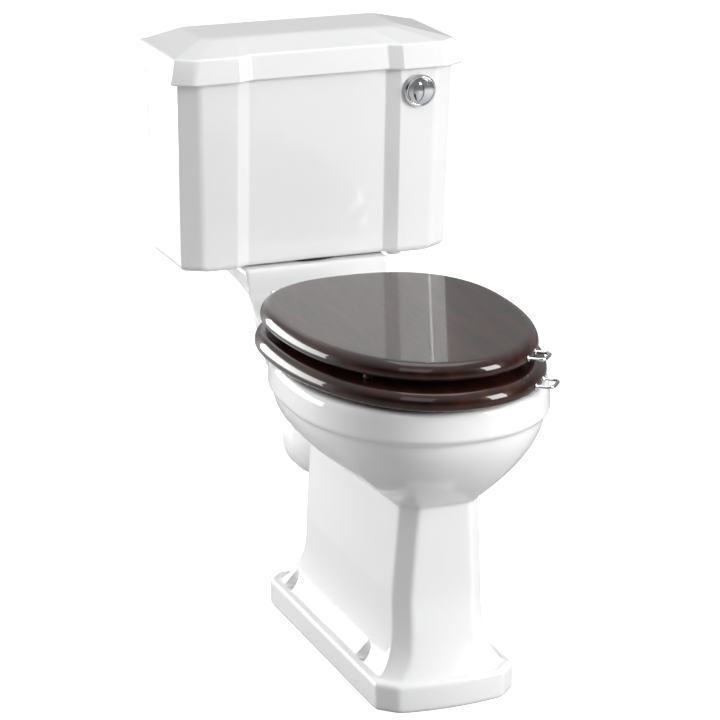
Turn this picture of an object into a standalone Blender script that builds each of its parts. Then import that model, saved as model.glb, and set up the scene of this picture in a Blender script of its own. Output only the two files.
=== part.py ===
"""Close coupled toilet: pan, cistern, wooden seat and the flushing parts inside.

Metres, +Z up.  The front faces -Y and the wall is at +Y.  The origin is on the
floor, under the middle of the whole object.  Depths are measured from the wall
and turned into Y by at().  Z is the height above the floor.
"""
import math

import bmesh
import bpy
from mathutils import Matrix, Vector

# ---------------------------------------------------------------- whole object
DEPTH = 0.744             # wall to the front of the seat ring
HEIGHT = 0.810            # floor to the top of the cistern lid
GAP = 0.0003              # clearance between touching pieces
ROUND = 24                # sides of the larger round parts

# ---------------------------------------------------------------- pan
FOOT_HEIGHT = 0.040
FOOT_HALF = 0.100
FOOT_REAR, FOOT_FRONT = 0.196, 0.658
FOOT_BOW = 0.008
STEM_LOW = 0.150          # height where the foot's flare ends
STEM_TOP = 0.275          # height where the bowl begins
BOWL_FULLNESS = 1.7       # 1 is a straight cone, more is a rounder bowl
SIDE_FLARE = 4.0          # more keeps the foot's side ledges flatter
LEDGE = 0.395             # lower edge of the band round the rim
RIM = 0.4335              # top of the china rim and of the hinge deck
BAND_HALF = 0.1735
BAND_MIDDLE = 0.520
BAND_REAR, BAND_FRONT = 0.285, 0.732
SHELF = 0.486             # top of the shelf that carries the cistern
SHELF_HALF = 0.110
SHELF_FRONT = 0.165
OUTLET_HEIGHT = 0.222
OUTLET_RADIUS = 0.051
OUTLET_END = 0.140
TRAP_BORE = 0.038
FIX_X = 0.083             # floor fixing holes
FIX_DEPTHS = (0.265, 0.550)

# ---------------------------------------------------------------- cistern
TANK_LOW, TANK_TOP = 0.488, 0.770
TANK_HALF_LOW, TANK_HALF_TOP = 0.1995, 0.205
TANK_FRONT_LOW, TANK_FRONT_TOP = 0.163, 0.181
TANK_REAR = 0.010
TANK_WALL = 0.010
TANK_FLOOR = 0.012
CANT_X, CANT_Y = 0.028, 0.018
STEP_OUT, STEP_IN = 0.121, 0.102
RECESS = 0.011
LID_LOW, LID_EDGE = 0.762, 0.798
LID_HALF_LOW, LID_HALF_TOP = 0.217, 0.210
LID_FRONT_LOW, LID_FRONT_TOP = 0.193, 0.187
PANEL_HALF, PANEL_FRONT = 0.138, 0.095
VALVE_DEPTH = 0.088       # flush valve and coupling bolts stand here
BOLT_X = 0.075
FILL_X, FILL_DEPTH = 0.148, 0.078
WALL_FIX_X, WALL_FIX_Z = 0.120, 0.715   # screw holes through the cistern's back

# ---------------------------------------------------------------- flush button
BUTTON_X, BUTTON_Z = 0.1485, 0.729
BEZEL_RADIUS = 0.0235
BARREL_RADIUS = 0.0175
BUTTON_RADIUS = 0.0190
BUTTON_LOW, BUTTON_FACE = 0.0069, 0.0089   # back and front of the buttons at rest
PIN_END = -0.0140
LENS_X, LENS_HALF_WIDTH, LENS_HALF_HEIGHT = -0.004, 0.0078, 0.0150

# ---------------------------------------------------------------- seat
RING_HALF, LID_HALF = 0.1785, 0.1695
REAR_ROUNDING = 2.4       # superellipse power of the boards' rear corners
SEAT_MIDDLE, SEAT_REAR = 0.451, 0.258
RING_FRONT, COVER_FRONT = DEPTH, 0.727
RING_LOW, RING_TOP = 0.439, 0.463
COVER_LOW, COVER_TOP = 0.4735, 0.4965
HOLE_HALF, HOLE_REAR, HOLE_FRONT = 0.112, 0.325, 0.655
HINGE_DEPTH, HINGE_Z = 0.246, 0.471
ROD_RADIUS = 0.005
PILLAR_X = 0.078
STRAP_END = 0.290         # front end of the hinge straps under and on the boards
HANDLE_ANGLE = math.radians(54)
HANDLE_DROP = 0.0035      # handles stand this far below the middle of a board's edge


def at(depth):
    """World Y of a depth from the wall."""
    return DEPTH / 2 - depth


def front_slope():
    """Tilt of the cistern's front face from the vertical."""
    run = TANK_FRONT_TOP - TANK_FRONT_LOW
    return math.atan2(run, TANK_TOP - TANK_LOW)


def tank_front(z):
    """Depth of the cistern's front face at a height."""
    share = (z - TANK_LOW) / (TANK_TOP - TANK_LOW)
    return TANK_FRONT_LOW + (TANK_FRONT_TOP - TANK_FRONT_LOW) * share


# ---------------------------------------------------------------- scene set-up
for old in list(bpy.data.objects):
    bpy.data.objects.remove(old, do_unlink=True)

PARTS = bpy.data.collections.new("close_coupled_toilet")
CUTTERS = bpy.data.collections.new("cutters")
bpy.context.scene.collection.children.link(PARTS)
bpy.context.scene.collection.children.link(CUTTERS)


def material(name, colour, roughness, metallic=0.0):
    made = bpy.data.materials.new(name)
    made.use_nodes = True
    shader = made.node_tree.nodes["Principled BSDF"]
    shader.inputs["Base Color"].default_value = (*colour, 1.0)
    shader.inputs["Roughness"].default_value = roughness
    shader.inputs["Metallic"].default_value = metallic
    made.diffuse_color = (*colour, 1.0)
    return made


CHINA = ("china", (0.93, 0.93, 0.92), 0.08, 0.0)
WOOD = ("mahogany", (0.045, 0.012, 0.008), 0.12, 0.0)
CHROME = ("chrome", (0.80, 0.81, 0.83), 0.06, 1.0)
RUBBER = ("rubber", (0.03, 0.03, 0.03), 0.75, 0.0)
WHITE_PLASTIC = ("white_plastic", (0.85, 0.86, 0.86), 0.35, 0.0)
BLUE_PLASTIC = ("blue_plastic", (0.10, 0.28, 0.55), 0.35, 0.0)
BRASS = ("brass", (0.72, 0.52, 0.22), 0.30, 1.0)


def keep(obj, name, finish):
    """Name a finished part, give it its own material and put it with the parts."""
    obj.name = name
    obj.data.name = name
    obj.data.materials.clear()
    obj.data.materials.append(material(f"{name}_{finish[0]}", *finish[1:]))
    move_to(obj, PARTS)
    if obj.type == "MESH":
        obj.data.shade_smooth()
        obj.data.set_sharp_from_angle(angle=math.radians(35))
    return obj


def move_to(obj, collection):
    for other in list(obj.users_collection):
        other.objects.unlink(obj)
    collection.objects.link(obj)


def tool(obj):
    """Mark an object as a cutter or a piece to be joined on."""
    move_to(obj, CUTTERS)
    obj.hide_render = True
    obj.display_type = "WIRE"
    return obj


def combine(target, other, operation):
    step = target.modifiers.new(f"{operation.lower()} {other.name}", "BOOLEAN")
    step.operation = operation
    step.solver = "EXACT"
    step.object = tool(other)


def cut(target, *others):
    for other in others:
        combine(target, other, "DIFFERENCE")


def join(target, *others):
    for other in others:
        combine(target, other, "UNION")


# ---------------------------------------------------------------- basic shapes
def from_bmesh(name, mesh):
    data = bpy.data.meshes.new(name)
    mesh.to_mesh(data)
    mesh.free()
    made = bpy.data.objects.new(name, data)
    PARTS.objects.link(made)
    return made


def loft(name, rings, closed=False):
    """Skin a stack of rings of equal count.  Closed makes it a ring shaped body."""
    mesh = bmesh.new()
    rows = [[mesh.verts.new(point) for point in ring] for ring in rings]
    count = len(rows[0])
    pairs = list(zip(rows, rows[1:]))
    if closed:
        pairs.append((rows[-1], rows[0]))
    for low, high in pairs:
        for i in range(count):
            j = (i + 1) % count
            mesh.faces.new((low[i], low[j], high[j], high[i]))
    if not closed:
        mesh.faces.new(rows[0][::-1])
        mesh.faces.new(rows[-1])
    bmesh.ops.recalc_face_normals(mesh, faces=mesh.faces)
    return from_bmesh(name, mesh)


def cylinder(name, radius, start, end, sides=ROUND, end_radius=None):
    """A round bar or cone between two points."""
    start, end = Vector(start), Vector(end)
    span = end - start
    mesh = bmesh.new()
    far = radius if end_radius is None else end_radius
    bmesh.ops.create_cone(mesh, cap_ends=True, segments=sides, radius1=radius,
                          radius2=far, depth=span.length)
    made = from_bmesh(name, mesh)
    turn = span.to_track_quat("Z", "Y").to_matrix().to_4x4()
    made.matrix_world = Matrix.Translation((start + end) / 2) @ turn
    return made


def box(name, low, high):
    low, high = Vector(low), Vector(high)
    mesh = bmesh.new()
    bmesh.ops.create_cube(mesh, size=1.0)
    bmesh.ops.scale(mesh, vec=high - low, verts=mesh.verts)
    made = from_bmesh(name, mesh)
    made.location = (low + high) / 2
    return made


def turned(name, profile, place, axis=(0, 0, 1), sides=ROUND):
    """A turned part: a closed (radius, height) profile spun by a Screw modifier."""
    data = bpy.data.meshes.new(name)
    count = len(profile)
    edges = [(i, (i + 1) % count) for i in range(count)]
    if profile[0][0] == 0 and profile[-1][0] == 0:
        edges.pop()
    data.from_pydata([(r, 0, h) for r, h in profile], edges, [])
    made = bpy.data.objects.new(name, data)
    PARTS.objects.link(made)
    spin = made.modifiers.new("spin", "SCREW")
    spin.steps = sides
    spin.render_steps = sides
    spin.use_merge_vertices = True
    spin.merge_threshold = 0.00005
    turn = Vector(axis).to_track_quat("Z", "Y").to_matrix().to_4x4()
    made.matrix_world = Matrix.Translation(place) @ turn
    return made


def washer(name, inner, outer, thickness, place, axis=(0, 0, 1), sides=ROUND):
    """A flat ring whose lower face is at the place.  Its bore clears a round of radius inner."""
    inner /= math.cos(math.pi / sides)
    profile = [(inner, thickness), (outer, thickness), (outer, 0), (inner, 0)]
    return turned(name, profile, place, axis, sides)


def tube(name, points, radius, sides_level=3, radii=None, smooth=False):
    """A round tube along a route, made a mesh so that it can be joined or cut."""
    curve = bpy.data.curves.new(name, "CURVE")
    curve.dimensions = "3D"
    curve.bevel_depth = radius
    curve.bevel_resolution = sides_level
    curve.use_fill_caps = True
    line = curve.splines.new("POLY")
    route = smooth_route(points) if smooth else points
    line.points.add(len(route) - 1)
    for i, (point, place) in enumerate(zip(line.points, route)):
        point.co = (*place, 1.0)
        if radii:
            point.radius = radii[i]
    made = bpy.data.objects.new(name, curve)
    PARTS.objects.link(made)
    return as_mesh(made)


def as_mesh(curve_object):
    graph = bpy.context.evaluated_depsgraph_get()
    data = bpy.data.meshes.new_from_object(curve_object.evaluated_get(graph))
    mesh = bmesh.new()
    mesh.from_mesh(data)
    bmesh.ops.remove_doubles(mesh, verts=mesh.verts, dist=0.00002)
    bmesh.ops.recalc_face_normals(mesh, faces=mesh.faces)
    mesh.to_mesh(data)
    mesh.free()
    made = bpy.data.objects.new(curve_object.name, data)
    made.matrix_world = curve_object.matrix_world
    PARTS.objects.link(made)
    bpy.data.objects.remove(curve_object, do_unlink=True)
    return made


def smooth_route(points, steps=4):
    """Catmull-Rom points through a hand-placed route."""
    route = [Vector(p) for p in points]
    ends = [route[0] * 2 - route[1], *route, route[-1] * 2 - route[-2]]
    made = []
    for a, b, c, d in zip(ends, ends[1:], ends[2:], ends[3:]):
        for step in range(steps):
            t = step / steps
            made.append(0.5 * (2 * b + (c - a) * t + (2 * a - 5 * b + 4 * c - d) * t * t
                               + (3 * b - a - 3 * c + d) * t ** 3))
    return made + [route[-1]]


def plate(name, outline, holes, z_low, z_high, edge, edge_steps=2):
    """A flat outlined board with rounded edges, from a filled 2D curve."""
    curve = bpy.data.curves.new(name, "CURVE")
    curve.dimensions = "2D"
    curve.fill_mode = "BOTH"
    curve.extrude = (z_high - z_low) / 2 - edge
    curve.bevel_depth = edge
    curve.bevel_resolution = edge_steps
    curve.offset = -edge
    for points in (outline, *holes):
        line = curve.splines.new("POLY")
        line.points.add(len(points) - 1)
        line.use_cyclic_u = True
        for point, (x, y) in zip(line.points, points):
            point.co = (x, y, 0.0, 1.0)
    made = bpy.data.objects.new(name, curve)
    made.location.z = (z_low + z_high) / 2
    PARTS.objects.link(made)
    bpy.context.view_layer.update()
    return as_mesh(made)


# ---------------------------------------------------------------- outlines
SPANS = (3, 3, 7, 3, 3)   # points along rear, rear corner, side, front corner, front


def spread(corners):
    """Points along straight spans between corner points, counted by SPANS."""
    made = []
    for (ax, ay), (bx, by), count in zip(corners, corners[1:], SPANS):
        made += [(ax + (bx - ax) * i / count, ay + (by - ay) * i / count) for i in range(count)]
    return made + [corners[-1]]


def mirrored(half, z):
    """A whole ring at height z from the right half, rear middle to front middle."""
    right = [Vector((x, at(depth), z)) for x, depth in half]
    left = [Vector((-x, at(depth), z)) for x, depth in half[1:-1]]
    return right + left[::-1]


def canted_half(half, rear, front, bow=0.0, corner=0.020, cant=0.025):
    """Right half of a rectangle with a cut rear corner, canted and bowed front."""
    points = spread([(0, rear), (half - corner, rear), (half, rear + corner),
                     (half, front - cant), (half - cant, front), (0, front)])
    reach = half - cant
    return [(x, d + bow * (1 - (x / reach) ** 2)) if d >= front - 1e-9 else (x, d)
            for x, d in points]


EGG_TURNS = (0, 28, 60, 122, 150, 180)


def egg_half(half, middle, rear, front, rear_power=2.6, front_power=2.15):
    """Right half of an egg outline, sampled to match canted_half."""
    made = []
    for low, high, count in zip(EGG_TURNS, EGG_TURNS[1:], SPANS):
        steps = count + (1 if high == 180 else 0)
        for i in range(steps):
            turn = math.radians(low + (high - low) * i / count)
            made.append(egg_point(turn, half, middle, rear, front, rear_power, front_power))
    return made


def egg_point(turn, half, middle, rear, front, rear_power=2.6, front_power=2.15):
    """A point of the egg: turn 0 is the rear middle and pi the front middle."""
    back = math.cos(turn) > 0
    power = rear_power if back else front_power
    reach = (middle - rear) if back else (front - middle)
    x = half * abs(math.sin(turn)) ** (2 / power)
    run = reach * abs(math.cos(turn)) ** (2 / power)
    return x, (middle - run if back else middle + run)


def egg_loop(count, half, rear, front, rear_power=REAR_ROUNDING, front_power=2.15):
    """A whole (x, y) egg loop for the seat boards."""
    made = []
    for i in range(count):
        turn = 2 * math.pi * i / count
        x, depth = egg_point(turn, half, SEAT_MIDDLE, rear, front, rear_power, front_power)
        made.append((math.copysign(x, math.sin(turn)), at(depth)))
    return made


def blend(first, second, share):
    return [(ax + (bx - ax) * share, ay + (by - ay) * share)
            for (ax, ay), (bx, by) in zip(first, second)]


# ---------------------------------------------------------------- pan
def stem_half(z):
    """Right half of the pedestal's section, widening to the foot below STEM_LOW."""
    rise = (z - STEM_LOW) / (STEM_TOP - STEM_LOW)
    half = 0.065 - 0.008 * max(rise, 0)
    rear = 0.262
    front = 0.626 + 0.008 * max(rise, 0)
    drop = min(max((STEM_LOW - z) / (STEM_LOW - FOOT_HEIGHT), 0), 1)
    flare = drop ** 2.3
    half += drop ** SIDE_FLARE * (FOOT_HALF - 0.010 - half)
    rear += flare * (FOOT_REAR + 0.010 - rear)
    front += flare * (FOOT_FRONT - 0.009 - front)
    return canted_half(half, rear, front, FOOT_BOW * flare, 0.014 + 0.008 * flare,
                       0.021 + 0.004 * flare)


def pan_rings():
    def foot(inset):
        return canted_half(FOOT_HALF - inset, FOOT_REAR + inset, FOOT_FRONT - inset, FOOT_BOW)

    rings = [mirrored(foot(0.0), 0.0), mirrored(foot(0.0), FOOT_HEIGHT - 0.006),
             mirrored(foot(0.0018), FOOT_HEIGHT - 0.0015), mirrored(foot(0.006), FOOT_HEIGHT)]
    for z in (0.0435, 0.052, 0.064, 0.080, 0.100, 0.122, STEM_LOW, 0.200, STEM_TOP):
        rings.append(mirrored(stem_half(z), z))
    stem = stem_half(STEM_TOP)
    under = egg_half(BAND_HALF - 0.0075, BAND_MIDDLE, BAND_REAR, BAND_FRONT - 0.0075)
    for share in (0.03, 0.11, 0.24, 0.42, 0.64, 0.86, 1.0):
        z = STEM_TOP + (LEDGE - 0.007 - STEM_TOP) * share
        rings.append(mirrored(blend(stem, under, 1 - (1 - share) ** BOWL_FULLNESS), z))
    for inset, z in ((0.0, LEDGE), (0.0015, RIM - 0.008), (0.0045, RIM - 0.002), (0.010, RIM)):
        rings.append(mirrored(egg_half(BAND_HALF - inset, BAND_MIDDLE, BAND_REAR + inset,
                                       BAND_FRONT - inset), z))
    return rings


def deck_ring(depth, half, low, top, edge=0.006):
    """A section across the hinge deck and shelf, standing in the XZ plane."""
    foot = half - 0.006
    right = [(0, low), (foot - 0.008, low), (foot, low + 0.008), (half, top - edge),
             (half - 0.3 * edge, top - 0.3 * edge), (half - edge, top), (0, top)]
    left = [(-x, z) for x, z in right[1:-1]]
    return [Vector((x, at(depth), z)) for x, z in right + left[::-1]]


def deck_rings():
    """Wall to bowl: the flat shelf, its hollow front, then the flat hinge deck."""
    front = SHELF_FRONT
    stations = ((0.008, 0.108, 0.456, SHELF - 0.004), (0.012, SHELF_HALF, 0.456, SHELF),
                (0.100, SHELF_HALF, 0.450, SHELF), (front - 0.005, SHELF_HALF, 0.440, SHELF),
                (front, SHELF_HALF, 0.438, SHELF - 0.004), (front + 0.003, 0.110, 0.436, 0.464),
                (front + 0.009, 0.111, 0.434, 0.4535), (front + 0.024, 0.1125, 0.428, 0.4435),
                (front + 0.044, 0.116, 0.418, 0.4365), (front + 0.064, 0.120, 0.410, RIM),
                (0.290, 0.135, 0.398, RIM), (0.345, 0.1505, 0.396, RIM), (0.400, 0.158, 0.396, RIM))
    return [deck_ring(depth, half, low, top) for depth, half, low, top in stations]


def bowl_cavity():
    """Opening, hollow flushing rim and basin, down into the mouth of the trap."""
    levels = ((0.122, 0.515, 0.338, 0.690, 0.450), (0.122, 0.515, 0.338, 0.690, 0.4035),
              (0.148, 0.515, 0.316, 0.706, 0.4030), (0.148, 0.515, 0.316, 0.706, 0.3850),
              (0.134, 0.513, 0.322, 0.694, 0.3500), (0.104, 0.505, 0.330, 0.664, 0.3150),
              (0.062, 0.490, 0.362, 0.612, 0.2850), (0.050, 0.465, 0.400, 0.545, 0.2550),
              (0.036, 0.452, 0.415, 0.495, 0.2300))
    rings = [mirrored(egg_half(half, middle, rear, front), z)
             for half, middle, rear, front, z in levels]
    return loft("bowl cavity", rings[::-1])


def side_view(route):
    """Points of a route drawn in the middle plane as (depth, height)."""
    return [(0.0, at(depth), z) for depth, z in route]


TRAP_CREST = ((0.330, 0.190), (0.316, 0.235), (0.288, 0.268), (0.250, 0.266), (0.212, 0.242),
              (0.180, 0.226))


def trap_outside():
    route = side_view(TRAP_CREST + ((OUTLET_END + 0.022, OUTLET_HEIGHT),))
    return tube("trap outside", route, OUTLET_RADIUS - 0.0008, smooth=True)


def outlet_spigot():
    """The straight end that a pipe connector goes over."""
    return cylinder("spigot", OUTLET_RADIUS, (0, at(OUTLET_END + 0.036), OUTLET_HEIGHT),
                    (0, at(OUTLET_END), OUTLET_HEIGHT), 28)


def trap_bore():
    sump = ((0.452, 0.262), (0.448, 0.205), (0.428, 0.163), (0.392, 0.145), (0.354, 0.156))
    route = side_view(sump + TRAP_CREST + ((OUTLET_END - 0.010, OUTLET_HEIGHT),))
    return tube("trap bore", route, TRAP_BORE, smooth=True)


def flush_inlet(swell, top):
    """The round well under the cistern's outlet."""
    y = at(VALVE_DEPTH)
    return cylinder("flush inlet", 0.042 + swell, (0, y, 0.452 - swell), (0, y, top), 28)


def flush_duct(swell):
    """The water way from the inlet well to the back of the rim."""
    route = ((VALVE_DEPTH + 0.006, 0.458), (0.110, 0.442), (0.140, 0.427), (0.240, 0.412),
             (0.335, 0.397))
    sizes = (0.026, 0.026, 0.023, 0.021, 0.021)
    return tube("flush duct", side_view(route), 1.0, radii=[size + swell for size in sizes])


def foot_hollow():
    """The open space under the foot: inset from its sides and front, and from its rear."""
    levels = ((0.016, 0.016, -0.01), (0.016, 0.016, 0.012), (0.042, 0.050, 0.034),
              (0.050, 0.090, 0.085))
    rings = [mirrored(canted_half(FOOT_HALF - inset, FOOT_REAR + rear, FOOT_FRONT - inset,
                                  0.0, 0.012, 0.014), z) for inset, rear, z in levels]
    return loft("foot hollow", rings)


def deck_hollows():
    """Open spaces under the shelf and the hinge deck, either side of the duct."""
    made = []
    for side in (-1, 1):
        for near, far, inner, outer, top in ((0.020, 0.152, 0.056, 0.096, SHELF - 0.014),
                                             (0.150, 0.272, 0.042, 0.102, RIM - 0.012)):
            x_low, x_high = sorted((side * inner, side * outer))
            made.append(box("deck hollow", (x_low, at(far), 0.380), (x_high, at(near), top)))
    return made


def pan_holes():
    made = []
    for side in (-1, 1):
        x = side * BOLT_X
        made.append(cylinder("bolt hole", 0.0055, (x, at(VALVE_DEPTH), 0.44),
                             (x, at(VALVE_DEPTH), 0.50), 12))
        x = side * PILLAR_X
        made.append(cylinder("hinge hole", 0.0055, (x, at(HINGE_DEPTH), 0.40),
                             (x, at(HINGE_DEPTH), 0.45), 12))
        for depth in FIX_DEPTHS:
            x = side * FIX_X
            made.append(cylinder("fixing hole", 0.0055, (x, at(depth), -0.01),
                                 (x, at(depth), 0.06), 12))
            made.append(cylinder("fixing pocket", 0.0135, (x, at(depth), FOOT_HEIGHT),
                                 (x, at(depth), 0.090), 16, 0.0040))
    return made


def make_pan():
    pan = loft("pan", pan_rings())
    join(pan, loft("deck outside", deck_rings()), trap_outside(), outlet_spigot(),
         flush_inlet(0.010, SHELF - 0.006), flush_duct(0.010))
    front_hollow = box("front hollow", (-0.044, at(0.612), -0.01), (0.044, at(0.520), 0.200))
    cut(pan, *deck_hollows(), *pan_holes(), bowl_cavity(), trap_bore(),
        flush_inlet(0.0, 0.500), flush_duct(0.0), foot_hollow(), front_hollow)
    return keep(pan, "pan", CHINA)


# ---------------------------------------------------------------- cistern
def stepped_half(half, rear, front, step_out, step_in, recess, cant=(CANT_X, CANT_Y)):
    """Right half of the cistern's outline: canted corner, end block, step, centre."""
    cant_x, cant_y = cant
    return [(0, rear), (half - 0.006, rear), (half, rear + 0.006), (half, front - cant_y - 0.006),
            (half - 0.003, front - cant_y), (half - cant_x, front - 0.0015),
            (half - cant_x - 0.004, front), (step_out, front), (step_out - 0.004, front - 0.0015),
            (step_in + 0.004, front - recess + 0.002), (step_in, front - recess),
            (0, front - recess)]


def tank_half(z, inset=0.0, cant=(CANT_X, CANT_Y)):
    share = (z - TANK_LOW) / (TANK_TOP - TANK_LOW)
    half = TANK_HALF_LOW + (TANK_HALF_TOP - TANK_HALF_LOW) * share
    return stepped_half(half - inset, TANK_REAR + inset, tank_front(z) - inset,
                        STEP_OUT, STEP_IN, RECESS, cant)


def make_tank():
    floor = TANK_LOW + TANK_FLOOR
    rings = [mirrored(tank_half(TANK_LOW, 0.007), TANK_LOW),
             mirrored(tank_half(TANK_LOW, 0.002), TANK_LOW + 0.002),
             mirrored(tank_half(TANK_LOW + 0.007), TANK_LOW + 0.007),
             mirrored(tank_half(TANK_TOP - 0.003), TANK_TOP - 0.003),
             mirrored(tank_half(TANK_TOP, 0.0015), TANK_TOP)]
    tank = loft("tank", rings)
    cant = (CANT_X - 0.008, CANT_Y - 0.005)
    inside = [mirrored(tank_half(z, TANK_WALL + more, cant), height)
              for z, more, height in ((floor, 0.006, floor), (floor, 0.0, floor + 0.008),
                                      (TANK_TOP, 0.0, TANK_TOP + 0.010))]
    cut(tank, loft("tank inside", inside))
    y = at(VALVE_DEPTH)
    fill_y = at(FILL_DEPTH)
    cut(tank, cylinder("fill hole", 0.0110, (FILL_X, fill_y, TANK_LOW - 0.01),
                       (FILL_X, fill_y, floor + 0.01), 16))
    for name, x, radius in (("valve hole", 0.0, 0.0315), ("bolt hole", -BOLT_X, 0.0055),
                            ("bolt hole", BOLT_X, 0.0055)):
        cut(tank, cylinder(name, radius, (x, y, TANK_LOW - 0.01), (x, y, floor + 0.01), 16))
    cut(tank, cylinder("button hole", BARREL_RADIUS + GAP, button_point(0.012),
                       button_point(-0.020)))
    for x in (-WALL_FIX_X, WALL_FIX_X):
        cut(tank, cylinder("wall hole", 0.0040, (x, at(TANK_REAR) + 0.010, WALL_FIX_Z),
                           (x, at(TANK_REAR + TANK_WALL) - 0.010, WALL_FIX_Z), 12))
    return keep(tank, "cistern_tank", CHINA)


def lid_half(share, inset=0.0):
    """Outline of the cistern lid: share 0 is the skirt's lower edge, 1 the top."""
    half = LID_HALF_LOW + (LID_HALF_TOP - LID_HALF_LOW) * share
    front = LID_FRONT_LOW + (LID_FRONT_TOP - LID_FRONT_LOW) * share
    return stepped_half(half - inset, inset, front - inset, STEP_OUT, STEP_IN, RECESS)


def panel_half():
    """The raised panel's outline, on the same count of points as the lid."""
    half, front = PANEL_HALF, PANEL_FRONT
    side = [(half, 0.012), (half, front - 0.010), (half - 0.002, front - 0.004),
            (half - 0.006, front - 0.001), (half - 0.010, front)]
    inner = [(x, front) for x in (0.095, 0.090, 0.080, 0.075)]
    return [(0, 0.004), (half - 0.006, 0.004)] + side + inner + [(0, front)]


def make_cistern_lid():
    rings = [mirrored(lid_half(0.0, 0.003), LID_LOW), mirrored(lid_half(0.0), LID_LOW + 0.003),
             mirrored(lid_half(0.95), LID_EDGE - 0.003),
             mirrored(lid_half(1.0, 0.0015), LID_EDGE - 0.0006),
             mirrored(lid_half(1.0, 0.004), LID_EDGE),
             mirrored(panel_half(), HEIGHT - 0.0015), mirrored(
                 [(x * 0.975, 0.004 + (d - 0.004) * 0.965) for x, d in panel_half()], HEIGHT)]
    lid = loft("lid", rings)
    rest = TANK_TOP + GAP
    skirt = [mirrored(tank_half(TANK_TOP, -0.0020), LID_LOW - 0.01),
             mirrored(tank_half(TANK_TOP, -0.0020), rest)]
    hollow = [mirrored(tank_half(TANK_TOP, 0.014), LID_LOW - 0.01),
              mirrored(tank_half(TANK_TOP, 0.016), rest + 0.014)]
    cut(lid, loft("lid skirt space", skirt), loft("lid hollow", hollow))
    return keep(lid, "cistern_lid", CHINA)


# ---------------------------------------------------------------- flush button
def button_axis():
    """Unit vector out of the cistern's sloping front face."""
    slope = front_slope()
    return Vector((0, -math.cos(slope), -math.sin(slope)))


def button_point(out, across=0.0, up=0.0):
    """A point a given way out of the front face, at or beside the button's middle."""
    slope = front_slope()
    middle = Vector((BUTTON_X, at(tank_front(BUTTON_Z)), BUTTON_Z))
    upward = Vector((0, -math.sin(slope), math.cos(slope)))
    return middle + button_axis() * out + Vector((across, 0, 0)) + upward * up


def lens_loop(grow=0.0, steps=4):
    """The lens outline of the small button: two arcs meeting at top and bottom."""
    width, height = LENS_HALF_WIDTH + grow, LENS_HALF_HEIGHT + grow
    radius = (width ** 2 + height ** 2) / (2 * width)
    reach = math.asin(height / radius)
    right = [(radius * math.cos(t) - radius + width, radius * math.sin(t))
             for t in (reach * (2 * i / steps - 1) for i in range(steps))]
    return [(LENS_X + x, y) for x, y in right + [(-x, -y) for x, y in right]]


def button_frame():
    """Placement whose local Z points out of the front face and local Y up it."""
    return Matrix.Translation(button_point(0)) @ Matrix.Rotation(math.radians(90) + front_slope(),
                                                                 4, "X")


def button_prism(name, loop, low, high):
    """An outline in the button's own frame, raised from low to high."""
    rings = [[Vector((x, y, z)) for x, y in loop] for z in (low, high)]
    made = loft(name, rings)
    made.matrix_world = button_frame()
    return made


def disc_loop(radius, sides=32):
    turns = [2 * math.pi * i / sides for i in range(sides)]
    return [(radius * math.cos(t), radius * math.sin(t)) for t in turns]


def make_buttons():
    axis = button_axis()
    back, floor, rim = 0.0010 + GAP, 0.0024, 0.0084
    cup = BUTTON_RADIUS + 0.0004
    bore = BARREL_RADIUS - 0.0025
    bezel = [(cup, rim), (BEZEL_RADIUS - 0.0013, rim), (BEZEL_RADIUS, rim - 0.0020),
             (BEZEL_RADIUS, back), (BARREL_RADIUS, back), (BARREL_RADIUS, -0.022),
             (bore, -0.022), (bore, floor), (cup, floor)]
    keep(turned("bezel", bezel, button_point(0), axis, 32), "button_bezel", CHROME)
    keep(washer("gasket", BARREL_RADIUS + GAP, BEZEL_RADIUS - 0.001, 0.0010 - GAP,
                button_point(GAP), axis), "button_gasket", RUBBER)
    nut_low = -TANK_WALL - 0.001 - 0.006
    keep(washer("nut", BARREL_RADIUS + GAP, BARREL_RADIUS + 0.005, 0.006, button_point(nut_low),
                axis, 16), "button_back_nut", WHITE_PLASTIC)

    large = button_prism("large", disc_loop(BUTTON_RADIUS), BUTTON_LOW, BUTTON_FACE)
    cut(large, button_prism("lens hole", lens_loop(0.0004), 0.0, BUTTON_FACE + 0.010))
    join(large, push_pin(0.0118, -0.0040), push_pin(0.0118, 0.0040))
    keep(large, "large_flush_button", CHROME)

    small = button_prism("small", lens_loop(), BUTTON_LOW, BUTTON_FACE + 0.0006)
    join(small, push_pin(LENS_X, 0.0))
    keep(small, "small_flush_button", CHROME)

    housing = turned("housing", [(0, -0.022 - GAP), (0.0165, -0.022 - GAP), (0.0165, -0.034),
                                 (0.0120, -0.040), (0, -0.040)], button_point(0), axis)
    keep(housing, "cable_actuator", WHITE_PLASTIC)


def push_pin(across, up):
    """The pin behind a button that works the cable."""
    return cylinder("pin", 0.0020, button_point(BUTTON_LOW + 0.0010, across, up),
                    button_point(PIN_END, across, up), 10)


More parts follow.
